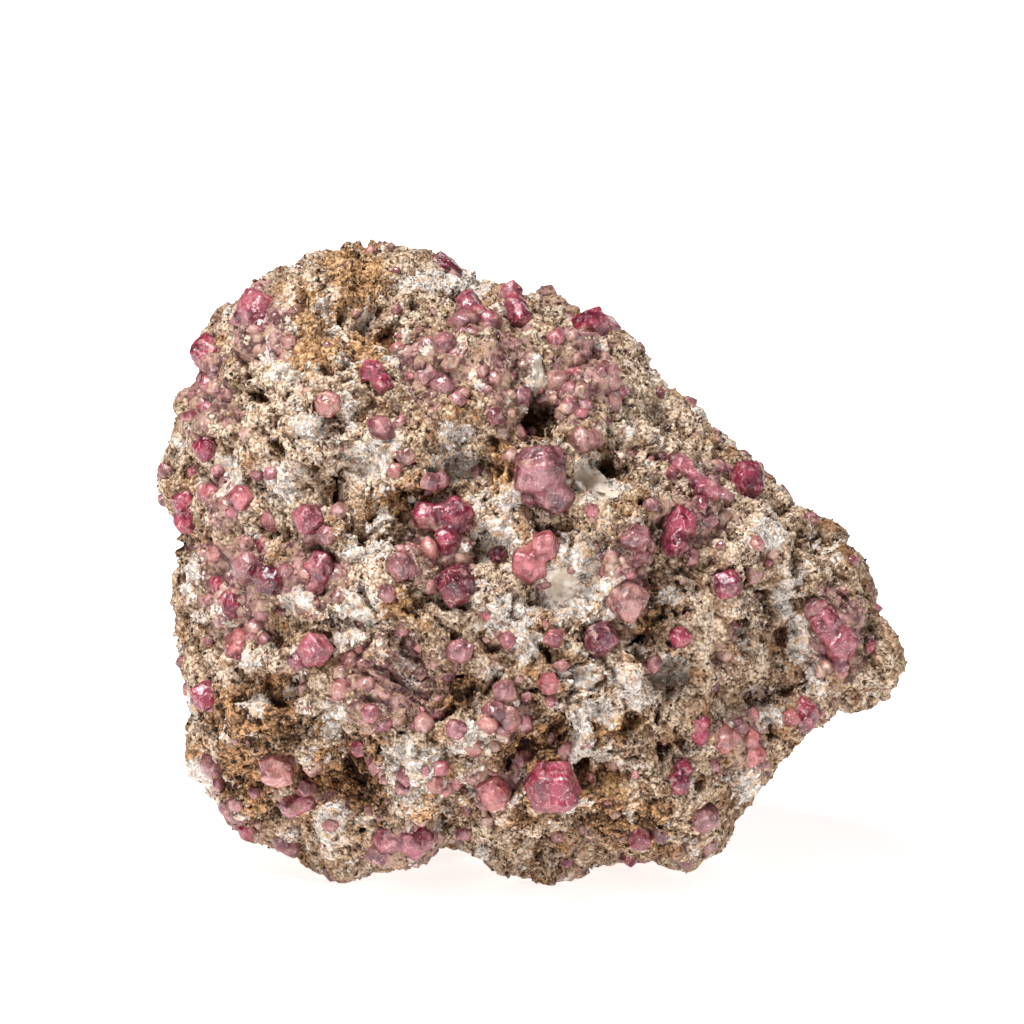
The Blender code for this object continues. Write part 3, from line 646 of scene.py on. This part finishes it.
def crust_on(points, rock_tree):
    """1 where a garnet meets the rock, and 0 where it stands clear of it."""
    crust = np.empty(len(points))
    for i, point in enumerate(points):
        place, facing, _, distance = rock_tree.find_nearest(Vector(point), 4.0)
        over = 4.0 if place is None else (Vector(point) - place).dot(facing)
        crust[i] = over
    return smoothstep(0.75, -0.2, crust + 0.5 * rolling(points, 0.9, 44.0))


def dress_garnet(node, rock_tree, material):
    largest = max(node.dimensions) / MM
    mesh, points, pairs, normals = refined(node, 0.2 if largest < 6 else 0.24)
    points = laplacian(points, pairs, ROUNDING.get(tone_of(node.name), 4))
    points = worn(points, normals)
    points[:, 2] = np.maximum(points[:, 2], 0.02)
    mesh.vertices.foreach_set("co", (points * MM).ravel())
    mesh.name = node.name + "_crystal"
    mesh.materials.clear()
    mesh.materials.append(material)
    piece = add_object(node.name + "_crystal", mesh)
    shade_smooth(piece)
    store_colour(piece, "crystal", (crust_on(points, rock_tree),))
    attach(piece, "root")
    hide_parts(node.name)


def from_least(corners):
    """A face's corners in the same order round it, from the one with the least number."""
    first = corners.index(min(corners))
    return corners[first:] + corners[:first]


def dodecahedron_template():
    """A rhombic dodecahedron with bevelled edges, about 1 in radius: its points and sorted triangles."""
    mesh = bmesh.new()
    size = 0.56
    for x in (-1, 1):
        for y in (-1, 1):
            for z in (-1, 1):
                mesh.verts.new((x * size, y * size, z * size))
    for axis in range(3):
        for way in (-1, 1):
            tip = [0.0, 0.0, 0.0]
            tip[axis] = 2 * way * size
            mesh.verts.new(tip)
    bmesh.ops.convex_hull(mesh, input=mesh.verts[:])
    bmesh.ops.dissolve_limit(mesh, angle_limit=0.01, verts=mesh.verts[:], edges=mesh.edges[:])
    bmesh.ops.bevel(mesh, geom=mesh.edges[:], offset=0.09, segments=1, profile=0.5, affect="EDGES")
    bmesh.ops.triangulate(mesh, faces=mesh.faces[:])
    bmesh.ops.recalc_face_normals(mesh, faces=mesh.faces[:])
    mesh.verts.index_update()
    points = np.array([v.co for v in mesh.verts])
    faces = np.array(sorted(from_least([v.index for v in face.verts]) for face in mesh.faces))
    mesh.free()
    return points, faces


def random_turn(draw):
    return np.array(Matrix.Rotation(draw.uniform(0, 6.28), 3, Vector([draw.gauss(0, 1) for _ in range(3)])))


def tone_of(name):
    return TONE_OF_CRYSTAL.get(name) or next((tone for tone in GARNET_TONES if tone in name), "raspberry")


def sight_line(x, z):
    """The eye, and the way from it to x, z in the front view."""
    middle = CORE + RIGHT * (MIDDLE_X - CORE_X) + UP * (MIDDLE_Z - CORE_Z)
    eye = middle - AWAY * VIEW_DISTANCE
    target = CORE + RIGHT * (x - CORE_X) + UP * (z - CORE_Z)
    return eye, (target - eye).normalized()


def small_garnet_places(surface_tree, points, faces, masks):
    """Middle, radius and tone of each garnet too small to be a solid."""
    draw = random.Random(23)
    places = []
    for tone, crystals in SMALL_GARNETS.items():
        for x, z, radius in crystals:
            eye, way = sight_line(x, z)
            place, facing, _, _ = surface_tree.ray_cast(eye, way)
            if place is None:
                target = eye + way * VIEW_DISTANCE
                place, facing, _, _ = surface_tree.find_nearest(target)
            places.append((place - facing * 0.1 * radius, 1.12 * radius, tone))
    count, smallest, largest = TINY_GARNETS
    weights = masks["mauve"][faces].mean(axis=1) ** 1.5 + 0.03
    weights *= 1 - 0.9 * masks["layered"][faces].mean(axis=1)
    for face in draw.choices(range(len(faces)), weights=weights, k=count):
        middle = Vector(points[faces[face]].mean(axis=0))
        radius = smallest + (largest - smallest) * draw.betavariate(1.0, 2.6)
        tone = draw.choice(("mauve", "crusted", "dusty", "dusty", "crusted", "pink", "smoky"))
        inward = (CORE - middle).normalized()
        places.append((middle + inward * 0.4 * radius, radius, tone))
    return places


def build_small_garnets(places, surface_tree):
    template, triangles = dodecahedron_template()
    draw = random.Random(5)
    all_points, all_faces, deep, lit = [], [], [], []
    for number, (middle, radius, tone) in enumerate(places):
        stretch = np.array([draw.uniform(0.85, 1.2) for _ in range(3)])
        points = (template * stretch * radius) @ random_turn(draw).T + np.array(middle)
        all_faces.append(triangles + number * len(template))
        all_points.append(points)
        shade = draw.uniform(0.85, 1.12)
        deep += [[channel * shade for channel in paint(*GARNET_TONES[tone][0])[:3]]] * len(template)
        lit += [[channel * shade for channel in paint(*GARNET_TONES[tone][1])[:3]]] * len(template)
    points = np.concatenate(all_points)
    points += 0.10 * np.stack([rolling(points, 0.8, shift) for shift in (1.0, 2.0, 3.0)], axis=1)
    points[:, 2] = np.maximum(points[:, 2], 0.02)
    piece = mesh_from("small_garnets", points, np.concatenate(all_faces))
    store_colour(piece, "crystal", (crust_on(points, surface_tree),))
    store_colour(piece, "deep_colour", np.array(deep).T)
    store_colour(piece, "lit_colour", np.array(lit).T)
    return piece


# Grains

OCTAHEDRON = np.array([(1, 0, 0), (-1, 0, 0), (0, 1, 0), (0, -1, 0), (0, 0, 1), (0, 0, -1)], float)
OCTAHEDRON_FACES = np.array(
    [(0, 2, 4), (2, 1, 4), (1, 3, 4), (3, 0, 4), (2, 0, 5), (1, 2, 5), (3, 1, 5), (0, 3, 5)]
)


def scatter(points, faces, weights, count, seed):
    """Count places on the mesh, drawn by weight: the faces, and a point on each."""
    draw = np.random.default_rng(seed)
    chosen = draw.choice(len(faces), size=count, p=weights / weights.sum())
    corners = points[faces[chosen]]
    share = draw.random((count, 2, 1))
    low = corners[:, 0] + (corners[:, 1] - corners[:, 0]) * share[:, 0]
    high = corners[:, 3] + (corners[:, 2] - corners[:, 3]) * share[:, 0]
    return chosen, low + (high - low) * share[:, 1], draw


def turns(draw, count):
    """Random rotations as matrices."""
    spin = draw.normal(size=(count, 4))
    w, x, y, z = (spin / np.linalg.norm(spin, axis=1)[:, None]).T
    rows = [
        (1 - 2 * (y * y + z * z), 2 * (x * y - z * w), 2 * (x * z + y * w)),
        (2 * (x * y + z * w), 1 - 2 * (x * x + z * z), 2 * (y * z - x * w)),
        (2 * (x * z - y * w), 2 * (y * z + x * w), 1 - 2 * (x * x + y * y)),
    ]
    return np.stack([np.stack(row, axis=1) for row in rows], axis=1)


def cell_map(count):
    """The bake's map for joined grains: a cell for each grain, and a piece of it for each face."""
    across = math.ceil(math.sqrt(count))
    cell = np.stack((np.arange(count) % across, np.arange(count) // across), axis=1)
    corners = []
    for number in range(8):
        column, row, upper = number % 2, (number // 2) % 2, number // 4
        near = np.array((column, row)) / 2 + 0.04
        far = near + 0.42
        if upper:
            corners.append([(far[0], far[1]), (near[0] + 0.08, far[1]), (far[0], near[1] + 0.08)])
        else:
            corners.append([(near[0], near[1]), (far[0] - 0.08, near[1]), (near[0], far[1] - 0.08)])
    places = (cell[:, None, None, :] + np.array(corners)[None]) / across
    return places.reshape(-1, 3, 2)


def build_grains(name, surface, weights, limits, seed):
    """Small angular grains half sunk in the rock, joined in one mesh."""
    points, faces, masks = surface
    count, smallest, largest = limits
    chosen, middles, draw = scatter(points, faces, weights, count, seed)
    radius = smallest + (largest - smallest) * draw.beta(1.5, 2.5, count)
    middles += normals_of(points, faces)[faces[chosen, 0]] * (0.15 * radius)[:, None]
    shapes = OCTAHEDRON[None] * draw.uniform(0.65, 1.35, (count, 6, 1)) * radius[:, None, None]
    shapes += draw.normal(0, 0.12, (count, 6, 3)) * radius[:, None, None]
    grains = np.einsum("nij,nkj->nki", turns(draw, count), shapes) + middles[:, None, :]
    grains[:, :, 2] = np.maximum(grains[:, :, 2], 0.02)
    joined = OCTAHEDRON_FACES[None] + 6 * np.arange(count)[:, None, None]
    piece = mesh_from(name, grains.reshape(-1, 3), joined.reshape(-1, 3))
    at = faces[chosen, 0]
    channels = [np.repeat(masks[key][at], 6) for key in ("calcite", "brown", "mauve", "hollow")]
    store_colour(piece, "zones", channels)
    tones = np.repeat(draw.random(count), 6)
    pale, ochre = (np.repeat(masks[key][at], 6) for key in ("pale", "ochre"))
    store_colour(piece, "grain", (tones, np.zeros(6 * count), pale, ochre))
    store_bake_map(piece, cell_map(count))
    return piece


def grain_weights(points, faces, masks, covered):
    """Each face's area, more so in front, and nothing under garnets, on silky calcite or on the foot."""
    corners = points[faces]
    across = np.cross(corners[:, 2] - corners[:, 0], corners[:, 3] - corners[:, 1])
    area = np.linalg.norm(across, axis=1) / 2
    _, _, away = seen_from_front(corners.mean(axis=1))
    front = 0.38 + 0.62 * smoothstep(10.0, -4.0, away)
    bare = covered[faces].any(axis=1) | (corners[:, :, 2].max(axis=1) < 0.4)
    return np.where(bare, 0.0, area * front * (1 - 0.95 * masks["silky"][faces].mean(axis=1)))


# Materials


def paint(red, green, blue):
    """A colour given as red, green and blue out of 255, as the shaders want it."""
    share = [channel / 255 for channel in (red, green, blue)]
    return (*[c / 12.92 if c <= 0.04045 else ((c + 0.055) / 1.055) ** 2.4 for c in share], 1.0)


class Tree:
    """Adds nodes to a material or a group. An input's value is a number, a colour or a node's output."""

    def __init__(self, tree):
        self.tree = tree

    def add(self, kind, inputs=None, **settings):
        made = self.tree.nodes.new("ShaderNode" + kind)
        for name, value in settings.items():
            setattr(made, name, value)
        for name, value in (inputs or {}).items():
            self.feed(value, made.inputs[name])
        return made

    def feed(self, value, socket):
        if isinstance(value, bpy.types.NodeSocket):
            self.tree.links.new(value, socket)
        else:
            socket.default_value = value

    def use(self, group, inputs=None):
        made = self.tree.nodes.new("ShaderNodeGroup")
        made.node_tree = group
        for name, value in (inputs or {}).items():
            self.feed(value, made.inputs[name])
        return made

    def reckon(self, operation, a, b):
        return self.add("Math", {0: a, 1: b}, operation=operation).outputs[0]

    def plus(self, a, b):
        return self.reckon("ADD", a, b)

    def minus(self, a, b):
        return self.reckon("SUBTRACT", a, b)

    def times(self, a, b):
        return self.reckon("MULTIPLY", a, b)

    def larger(self, a, b):
        return self.reckon("MAXIMUM", a, b)

    def blend(self, share, a, b, how="MIX"):
        made = self.add("Mix", {0: share, 6: a, 7: b}, data_type="RGBA", blend_type=how)
        return made.outputs[2]

    def window(self, value, low, high, to_low=0.0, to_high=1.0):
        """Value from low to high becomes to_low to to_high, smoothly."""
        made = self.add(
            "MapRange",
            {"Value": value, "From Min": low, "From Max": high, "To Min": to_low, "To Max": to_high},
            interpolation_type="SMOOTHSTEP",
        )
        return made.outputs[0]

    def place(self, size):
        """The object's own coordinates, so many millimetres to the unit."""
        own = self.add("TexCoord").outputs["Object"]
        return self.add("VectorMath", {0: own, "Scale": 1 / (size * MM)}, operation="SCALE").outputs[0]

    def noise(self, size, detail=2.0, roughness=0.55):
        inputs = {"Vector": self.place(size), "Scale": 1.0, "Detail": detail, "Roughness": roughness}
        return self.add("TexNoise", inputs).outputs[0]

    def cells(self, size, **settings):
        return self.add("TexVoronoi", {"Vector": self.place(size), "Scale": 1.0}, **settings)

    def stored(self, name):
        return self.add("Attribute", attribute_name=name)


def new_group(name, inputs, outputs):
    """An empty shader group with those sockets. An input is (name, kind, default)."""
    group = bpy.data.node_groups.new(name, "ShaderNodeTree")
    for label, kind, default in inputs:
        socket = group.interface.new_socket(name=label, in_out="INPUT", socket_type="NodeSocket" + kind)
        socket.default_value = default
    for label, kind in outputs:
        group.interface.new_socket(name=label, in_out="OUTPUT", socket_type="NodeSocket" + kind)
    tree = Tree(group)
    given = group.nodes.new("NodeGroupInput")
    result = group.nodes.new("NodeGroupOutput")
    return group, tree, given.outputs, result.inputs


def sugary_grain_group():
    """Closely packed grains: three tones of each one's own, the joints between them and their height."""
    outputs = [(name, "Float") for name in ("Tone", "Other Tone", "Third Tone", "Joint", "Height")]
    group, tree, _, result = new_group("sugary_grain", [], outputs)
    small, large = tree.cells(0.42), tree.cells(1.3)
    small_tones = tree.add("SeparateColor", {0: small.outputs["Color"]}).outputs
    large_tones = tree.add("SeparateColor", {0: large.outputs["Color"]}).outputs
    for place, name in enumerate(("Tone", "Other Tone", "Third Tone")):
        mostly_small = tree.times(small_tones[place], 0.6)
        tree.feed(tree.plus(mostly_small, tree.times(large_tones[place], 0.4)), result[name])
    tree.feed(tree.window(small.outputs["Distance"], 0.45, 0.8), result["Joint"])
    tree.feed(tree.minus(1.0, small.outputs["Distance"]), result["Height"])
    return group


def pore_group():
    """Fine pores between the grains, which the rock's colour darkens with painted shade."""
    group, tree, _, result = new_group("fine_pores", [], [("Pore", "Float")])
    fine = tree.window(tree.noise(0.5, 1.0), 0.56, 0.68)
    crowded = tree.window(tree.noise(3.2, 1.0), 0.38, 0.62)
    coarse = tree.window(tree.noise(1.1, 2.0), 0.60, 0.70)
    pore = tree.larger(tree.times(fine, crowded), coarse)
    tree.feed(pore, result["Pore"])
    return group


def skarn_group(grain_group, pores):
    """The matrix rock's colour, roughness and fine height from its zones, with painted shade in its pores
    and hollows.
    """
    zones = ("Calcite", "Brown", "Mauve", "Hollow", "Silky", "Pale", "Ochre")
    masks = [(name, "Float", 0.0) for name in zones]
    outputs = [("Color", "Color"), ("Roughness", "Float"), ("Height", "Float")]
    group, tree, given, result = new_group("skarn_rock", masks + [("Tone", "Float", 0.5)], outputs)
    grain = tree.use(grain_group)
    pore = tree.use(pores).outputs["Pore"]
    tone = tree.times(tree.plus(grain.outputs["Tone"], given["Tone"]), 0.5)
    patch = tree.noise(3.4, 3.0, 0.65)
    wisp = tree.noise(1.0, 2.0)
    glassy = tree.noise(1.7, 3.0, 0.6)

    tan = tree.blend(tree.window(tone, 0.2, 0.8), paint(112, 74, 44), paint(228, 202, 172))
    tan = tree.blend(tree.window(patch, 0.5, 0.7), tan, paint(164, 118, 76))
    chalky = tree.window(patch, 0.47, 0.36)
    tan = tree.blend(tree.times(chalky, 0.7), tan, paint(234, 214, 192))
    sandy = tree.blend(tree.window(tone, 0.2, 0.8), paint(170, 134, 102), paint(245, 226, 204))
    tan = tree.blend(shaped_mask(tree, given["Pale"], grain.outputs["Third Tone"], patch), tan, sandy)
    ochre = tree.blend(tree.window(tone, 0.2, 0.8), paint(138, 94, 54), paint(224, 182, 134))
    tan = tree.blend(shaped_mask(tree, given["Ochre"], grain.outputs["Other Tone"], patch), tan, ochre)
    brown = tree.blend(tree.window(tone, 0.28, 0.72), paint(50, 29, 17), paint(214, 164, 116))
    white = tree.blend(tree.window(tone, 0.15, 0.85), paint(180, 163, 150), paint(248, 242, 236))
    white = tree.blend(tree.window(wisp, 0.5, 0.66), white, paint(222, 190, 158))
    mauve = tree.blend(tree.window(glassy, 0.36, 0.64), paint(92, 55, 54), paint(184, 140, 134))
    mauve = tree.blend(tree.window(patch, 0.48, 0.64), mauve, paint(172, 142, 120))

    colour = tree.blend(shaped_mask(tree, given["Brown"], grain.outputs["Third Tone"], patch), tan, brown)
    is_mauve = shaped_mask(tree, given["Mauve"], grain.outputs["Other Tone"], patch)
    colour = tree.blend(is_mauve, colour, mauve)
    is_white = shaped_mask(tree, given["Calcite"], grain.outputs["Third Tone"], wisp)
    colour = tree.blend(is_white, colour, white)
    coated = tree.larger(tree.times(is_white, 0.7), tree.times(is_mauve, 0.5))
    softened = tree.minus(1.0, coated)
    # Darker joints between the grains are the rock's own colour; the darkening in the pores and the hollows
    # is painted shade.
    for dark, shade in (
        (tree.times(grain.outputs["Joint"], 0.6), paint(98, 64, 38)),
        (pore, paint(90, 58, 34)),
        (given["Hollow"], paint(122, 88, 58)),
    ):
        darkening = tree.blend(tree.times(dark, softened), paint(255, 255, 255), shade)
        colour = tree.blend(1.0, colour, darkening, "MULTIPLY")
    cloudy = tree.blend(tree.window(patch, 0.38, 0.6), paint(198, 181, 162), paint(243, 233, 221))
    silky = tree.window(tree.plus(given["Silky"], tree.plus(wisp, -0.5)), 0.3, 0.65)
    tree.feed(tree.blend(silky, colour, cloudy), result["Color"])
    dull = tree.window(tone, 0.0, 1.0, 0.95, 0.7)
    shiny = tree.larger(tree.times(silky, 0.35), tree.times(is_mauve, 0.4))
    tree.feed(tree.minus(dull, shiny), result["Roughness"])
    height = tree.plus(grain.outputs["Height"], tree.times(pore, -1.0))
    smoothed = tree.larger(tree.times(silky, 0.8), tree.times(is_mauve, 0.6))
    plainer = tree.minus(1.0, smoothed)
    tree.feed(tree.times(height, plainer), result["Height"])
    return group


def shaped_mask(tree, mask, tone, patch):
    """The mask taken grain by grain: the fuller the mask, the more of the grains it takes."""
    chance = tree.minus(tree.plus(tone, patch), 1.0)
    return tree.window(tree.plus(mask, tree.times(chance, 0.95)), 0.4, 0.62)


def garnet_group():
    """A garnet's colour, roughness and fine height, from its deep and lit colours and its crust."""
    colours = [("Deep", "Color", (0.2, 0.03, 0.06, 1)), ("Lit", "Color", (0.5, 0.1, 0.2, 1))]
    outputs = [("Color", "Color"), ("Roughness", "Float"), ("Height", "Float")]
    group, tree, given, result = new_group("garnet_crystal", colours + [("Crust", "Float", 0.0)], outputs)
    clouds = tree.noise(2.1, 3.0, 0.6)
    veils = tree.noise(0.9, 3.0, 0.65)
    specks = tree.noise(0.34, 2.0)
    cracks = tree.cells(1.5, feature="DISTANCE_TO_EDGE").outputs[0]
    colour = tree.blend(tree.window(clouds, 0.36, 0.62), given["Deep"], given["Lit"])
    paler = tree.blend(0.45, given["Lit"], paint(238, 204, 200))
    colour = tree.blend(tree.times(tree.window(veils, 0.54, 0.72), 0.7), colour, paler)
    healed = tree.times(tree.window(cracks, 0.035, 0.0), tree.window(clouds, 0.42, 0.55))
    colour = tree.blend(tree.times(healed, 0.5), colour, paint(226, 190, 182))
    dark = tree.blend(1.0, given["Deep"], paint(170, 130, 130), "MULTIPLY")
    colour = tree.blend(tree.times(tree.window(specks, 0.4, 0.3), 0.6), colour, dark)
    frost = tree.window(specks, 0.62, 0.72)
    colour = tree.blend(tree.times(frost, 0.6), colour, paint(232, 206, 202))
    dusting = tree.plus(given["Crust"], tree.minus(tree.plus(specks, veils), 1.0))
    dusted = tree.window(dusting, 0.45, 0.7)
    dust = tree.blend(tree.window(veils, 0.4, 0.6), paint(136, 98, 82), paint(190, 156, 142))
    colour = tree.blend(tree.times(dusted, 0.6), colour, dust)
    tree.feed(colour, result["Color"])
    polish = tree.window(tree.noise(1.2, 3.0), 0.38, 0.62, 0.14, 0.44)
    tree.feed(tree.plus(polish, tree.times(dusted, 0.3)), result["Roughness"])
    tree.feed(tree.plus(tree.times(specks, 0.8), tree.times(veils, 0.9)), result["Height"])
    return group


def new_material(name):
    made = bpy.data.materials.new(name)
    made.use_nodes = True
    tree = Tree(made.node_tree)
    return made, tree, made.node_tree.nodes["Principled BSDF"].inputs


def bump_from(tree, height, depth, strength):
    return tree.add("Bump", {"Height": height, "Distance": depth * MM, "Strength": strength}).outputs[0]


def rock_material(name, skarn):
    made, tree, shader = new_material(name)
    zones = tree.stored("zones")
    parts = tree.add("SeparateColor", {0: zones.outputs["Color"]}).outputs
    inputs = {"Calcite": parts[0], "Brown": parts[1], "Mauve": parts[2], "Hollow": zones.outputs["Alpha"]}
    stored = tree.stored("grain")
    grain = tree.add("SeparateColor", {0: stored.outputs["Color"]}).outputs
    inputs |= {"Ochre": stored.outputs["Alpha"], "Tone": grain[0], "Silky": grain[1], "Pale": grain[2]}
    rock = tree.use(skarn, inputs).outputs
    tree.feed(rock["Color"], shader["Base Color"])
    tree.feed(rock["Roughness"], shader["Roughness"])
    tree.feed(bump_from(tree, rock["Height"], 0.28, 0.9), shader["Normal"])
    shader["Specular IOR Level"].default_value = 0.35
    return made


def garnet_material(name, crystal, deep, lit):
    """Deep and lit are colours, or the names of the values that hold them."""
    made, tree, shader = new_material(name)
    if isinstance(deep, str):
        deep = tree.stored(deep).outputs["Color"]
        lit = tree.stored(lit).outputs["Color"]
    crust = tree.add("SeparateColor", {0: tree.stored("crystal").outputs["Color"]}).outputs[0]
    garnet = tree.use(crystal, {"Deep": deep, "Lit": lit, "Crust": crust}).outputs
    # Painted shade: the garnet's colour is darkened towards its outline, where its faces turn away from the
    # eye.
    glancing_shade = tree.add("LayerWeight", {"Blend": 0.35}).outputs["Facing"]
    shaded_rim_colour = tree.blend(1.0, garnet["Color"], paint(206, 150, 160), "MULTIPLY")
    tree.feed(tree.blend(glancing_shade, garnet["Color"], shaded_rim_colour), shader["Base Color"])
    tree.feed(garnet["Roughness"], shader["Roughness"])
    tree.feed(bump_from(tree, garnet["Height"], 0.12, 0.7), shader["Normal"])
    shader["IOR"].default_value = 1.6
    shader["Subsurface Weight"].default_value = 0.3
    shader["Subsurface Radius"].default_value = (1.0, 0.35, 0.4)
    shader["Subsurface Scale"].default_value = 0.9 * MM
    return made


def floor_material():
    """A white table that glows faintly, and more so farther off, as a lit backdrop does."""
    made, tree, shader = new_material("white_table")
    faint = tree.add("TexNoise", {"Scale": 6.0}).outputs[0]
    colour = tree.blend(faint, (0.93, 0.925, 0.925, 1), (0.95, 0.95, 0.95, 1))
    tree.feed(colour, shader["Base Color"])
    shader["Roughness"].default_value = 0.8
    shader["Emission Color"].default_value = (1.0, 0.985, 0.98, 1)
    own = tree.add("TexCoord").outputs["Object"]
    off = tree.add("VectorMath", {0: own}, operation="LENGTH").outputs["Value"]
    tree.feed(tree.window(off, 0.05, 0.3, 0.8, 1.1), shader["Emission Strength"])
    return made


# Stage


def build_floor():
    mesh = bmesh.new()
    bmesh.ops.create_grid(mesh, x_segments=8, y_segments=8, size=2.5)
    data = bpy.data.meshes.new("floor")
    mesh.to_mesh(data)
    mesh.free()
    data.materials.append(floor_material())
    add_object("floor", data)


def place_camera():
    camera = bpy.data.cameras.new("camera")
    camera.sensor_width = SENSOR_WIDTH
    camera.lens = SENSOR_WIDTH * VIEW_DISTANCE / VIEW_WIDTH
    holder = add_object("camera", camera)
    eye, _ = sight_line(MIDDLE_X, MIDDLE_Z)
    holder.location = eye * MM
    holder.rotation_euler = (math.pi / 2 - VIEW_TILT, 0, 0)
    bpy.context.scene.camera = holder


def add_soft_light(name, place_m, size_m, watts):
    light = bpy.data.lights.new(name, "AREA")
    light.shape = "RECTANGLE"
    light.size, light.size_y = size_m
    light.energy = watts
    holder = add_object(name, light)
    holder.location = place_m
    towards = Vector((0, 0, 0.035)) - Vector(place_m)
    holder.rotation_euler = towards.to_track_quat("-Z", "Y").to_euler()


def light_stage():
    add_soft_light("overhead_softbox", (-0.16, -0.24, 0.56), (0.26, 0.22), 5.5)
    add_soft_light("front_fill", (-0.45, -0.75, 0.30), (0.4, 0.4), 1.0)
    add_soft_light("right_fill", (0.7, -0.35, 0.35), (0.3, 0.3), 0.3)
    add_soft_light("back_fill", (0.35, 0.75, 0.40), (0.4, 0.4), 1.2)
    world = bpy.data.worlds.new("white_studio")
    bpy.context.scene.world = world
    world.use_nodes = True
    tree = Tree(world.node_tree)
    background = world.node_tree.nodes["Background"].inputs
    seen = tree.add("LightPath").outputs["Is Camera Ray"]
    background["Color"].default_value = (1, 1, 1, 1)
    tree.feed(tree.window(seen, 0.0, 1.0, 0.06, 1.05), background["Strength"])
    bpy.context.scene.view_settings.view_transform = "Standard"


# The whole

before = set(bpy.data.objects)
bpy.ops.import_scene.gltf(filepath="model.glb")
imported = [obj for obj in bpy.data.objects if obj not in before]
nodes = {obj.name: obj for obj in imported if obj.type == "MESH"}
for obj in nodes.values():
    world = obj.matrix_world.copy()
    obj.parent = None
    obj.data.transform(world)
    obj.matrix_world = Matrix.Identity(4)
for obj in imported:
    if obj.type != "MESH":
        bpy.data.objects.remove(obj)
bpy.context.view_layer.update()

garnet_nodes = [node for name, node in nodes.items() if name != ROCK_NODE]
rock_tree = tree_of([nodes[ROCK_NODE].data])
garnet_tree = tree_of([node.data for node in garnet_nodes])

skarn = skarn_group(sugary_grain_group(), pore_group())
crystal = garnet_group()

halves, (points, faces, masks, covered) = build_rock(rock_tree, garnet_tree)
for half in halves:
    half.data.materials.append(rock_material(half.name, skarn))
    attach(half, "root")
    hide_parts(ROCK_NODE)
surface_tree = BVHTree.FromPolygons(points.tolist(), faces.tolist())

garnet_looks = {}
for node in garnet_nodes:
    tone = tone_of(node.name)
    if tone not in garnet_looks:
        deep, lit = GARNET_TONES[tone]
        garnet_looks[tone] = garnet_material("garnet_" + tone, crystal, paint(*deep), paint(*lit))
    dress_garnet(node, surface_tree, garnet_looks[tone])

small = build_small_garnets(small_garnet_places(surface_tree, points, faces, masks), surface_tree)
small.data.materials.append(garnet_material("small_garnet", crystal, "deep_colour", "lit_colour"))
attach(small, "root")

weights = grain_weights(points, faces, masks, covered)
white = masks["calcite"][faces].mean(axis=1)
surface = (points, faces, masks)
for name, share, limits, seed in (
    ("tan_grains", (1 - 0.9 * white) * (1 - 0.85 * masks["mauve"][faces].mean(axis=1)), TAN_GRAINS, 1),
    ("calcite_grains", 0.05 + white, CALCITE_GRAINS, 2),
):
    grains = build_grains(name, surface, weights * share, limits, seed)
    grains.data.materials.append(rock_material(name, skarn))
    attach(grains, "root")

build_floor()
place_camera()
light_stage()
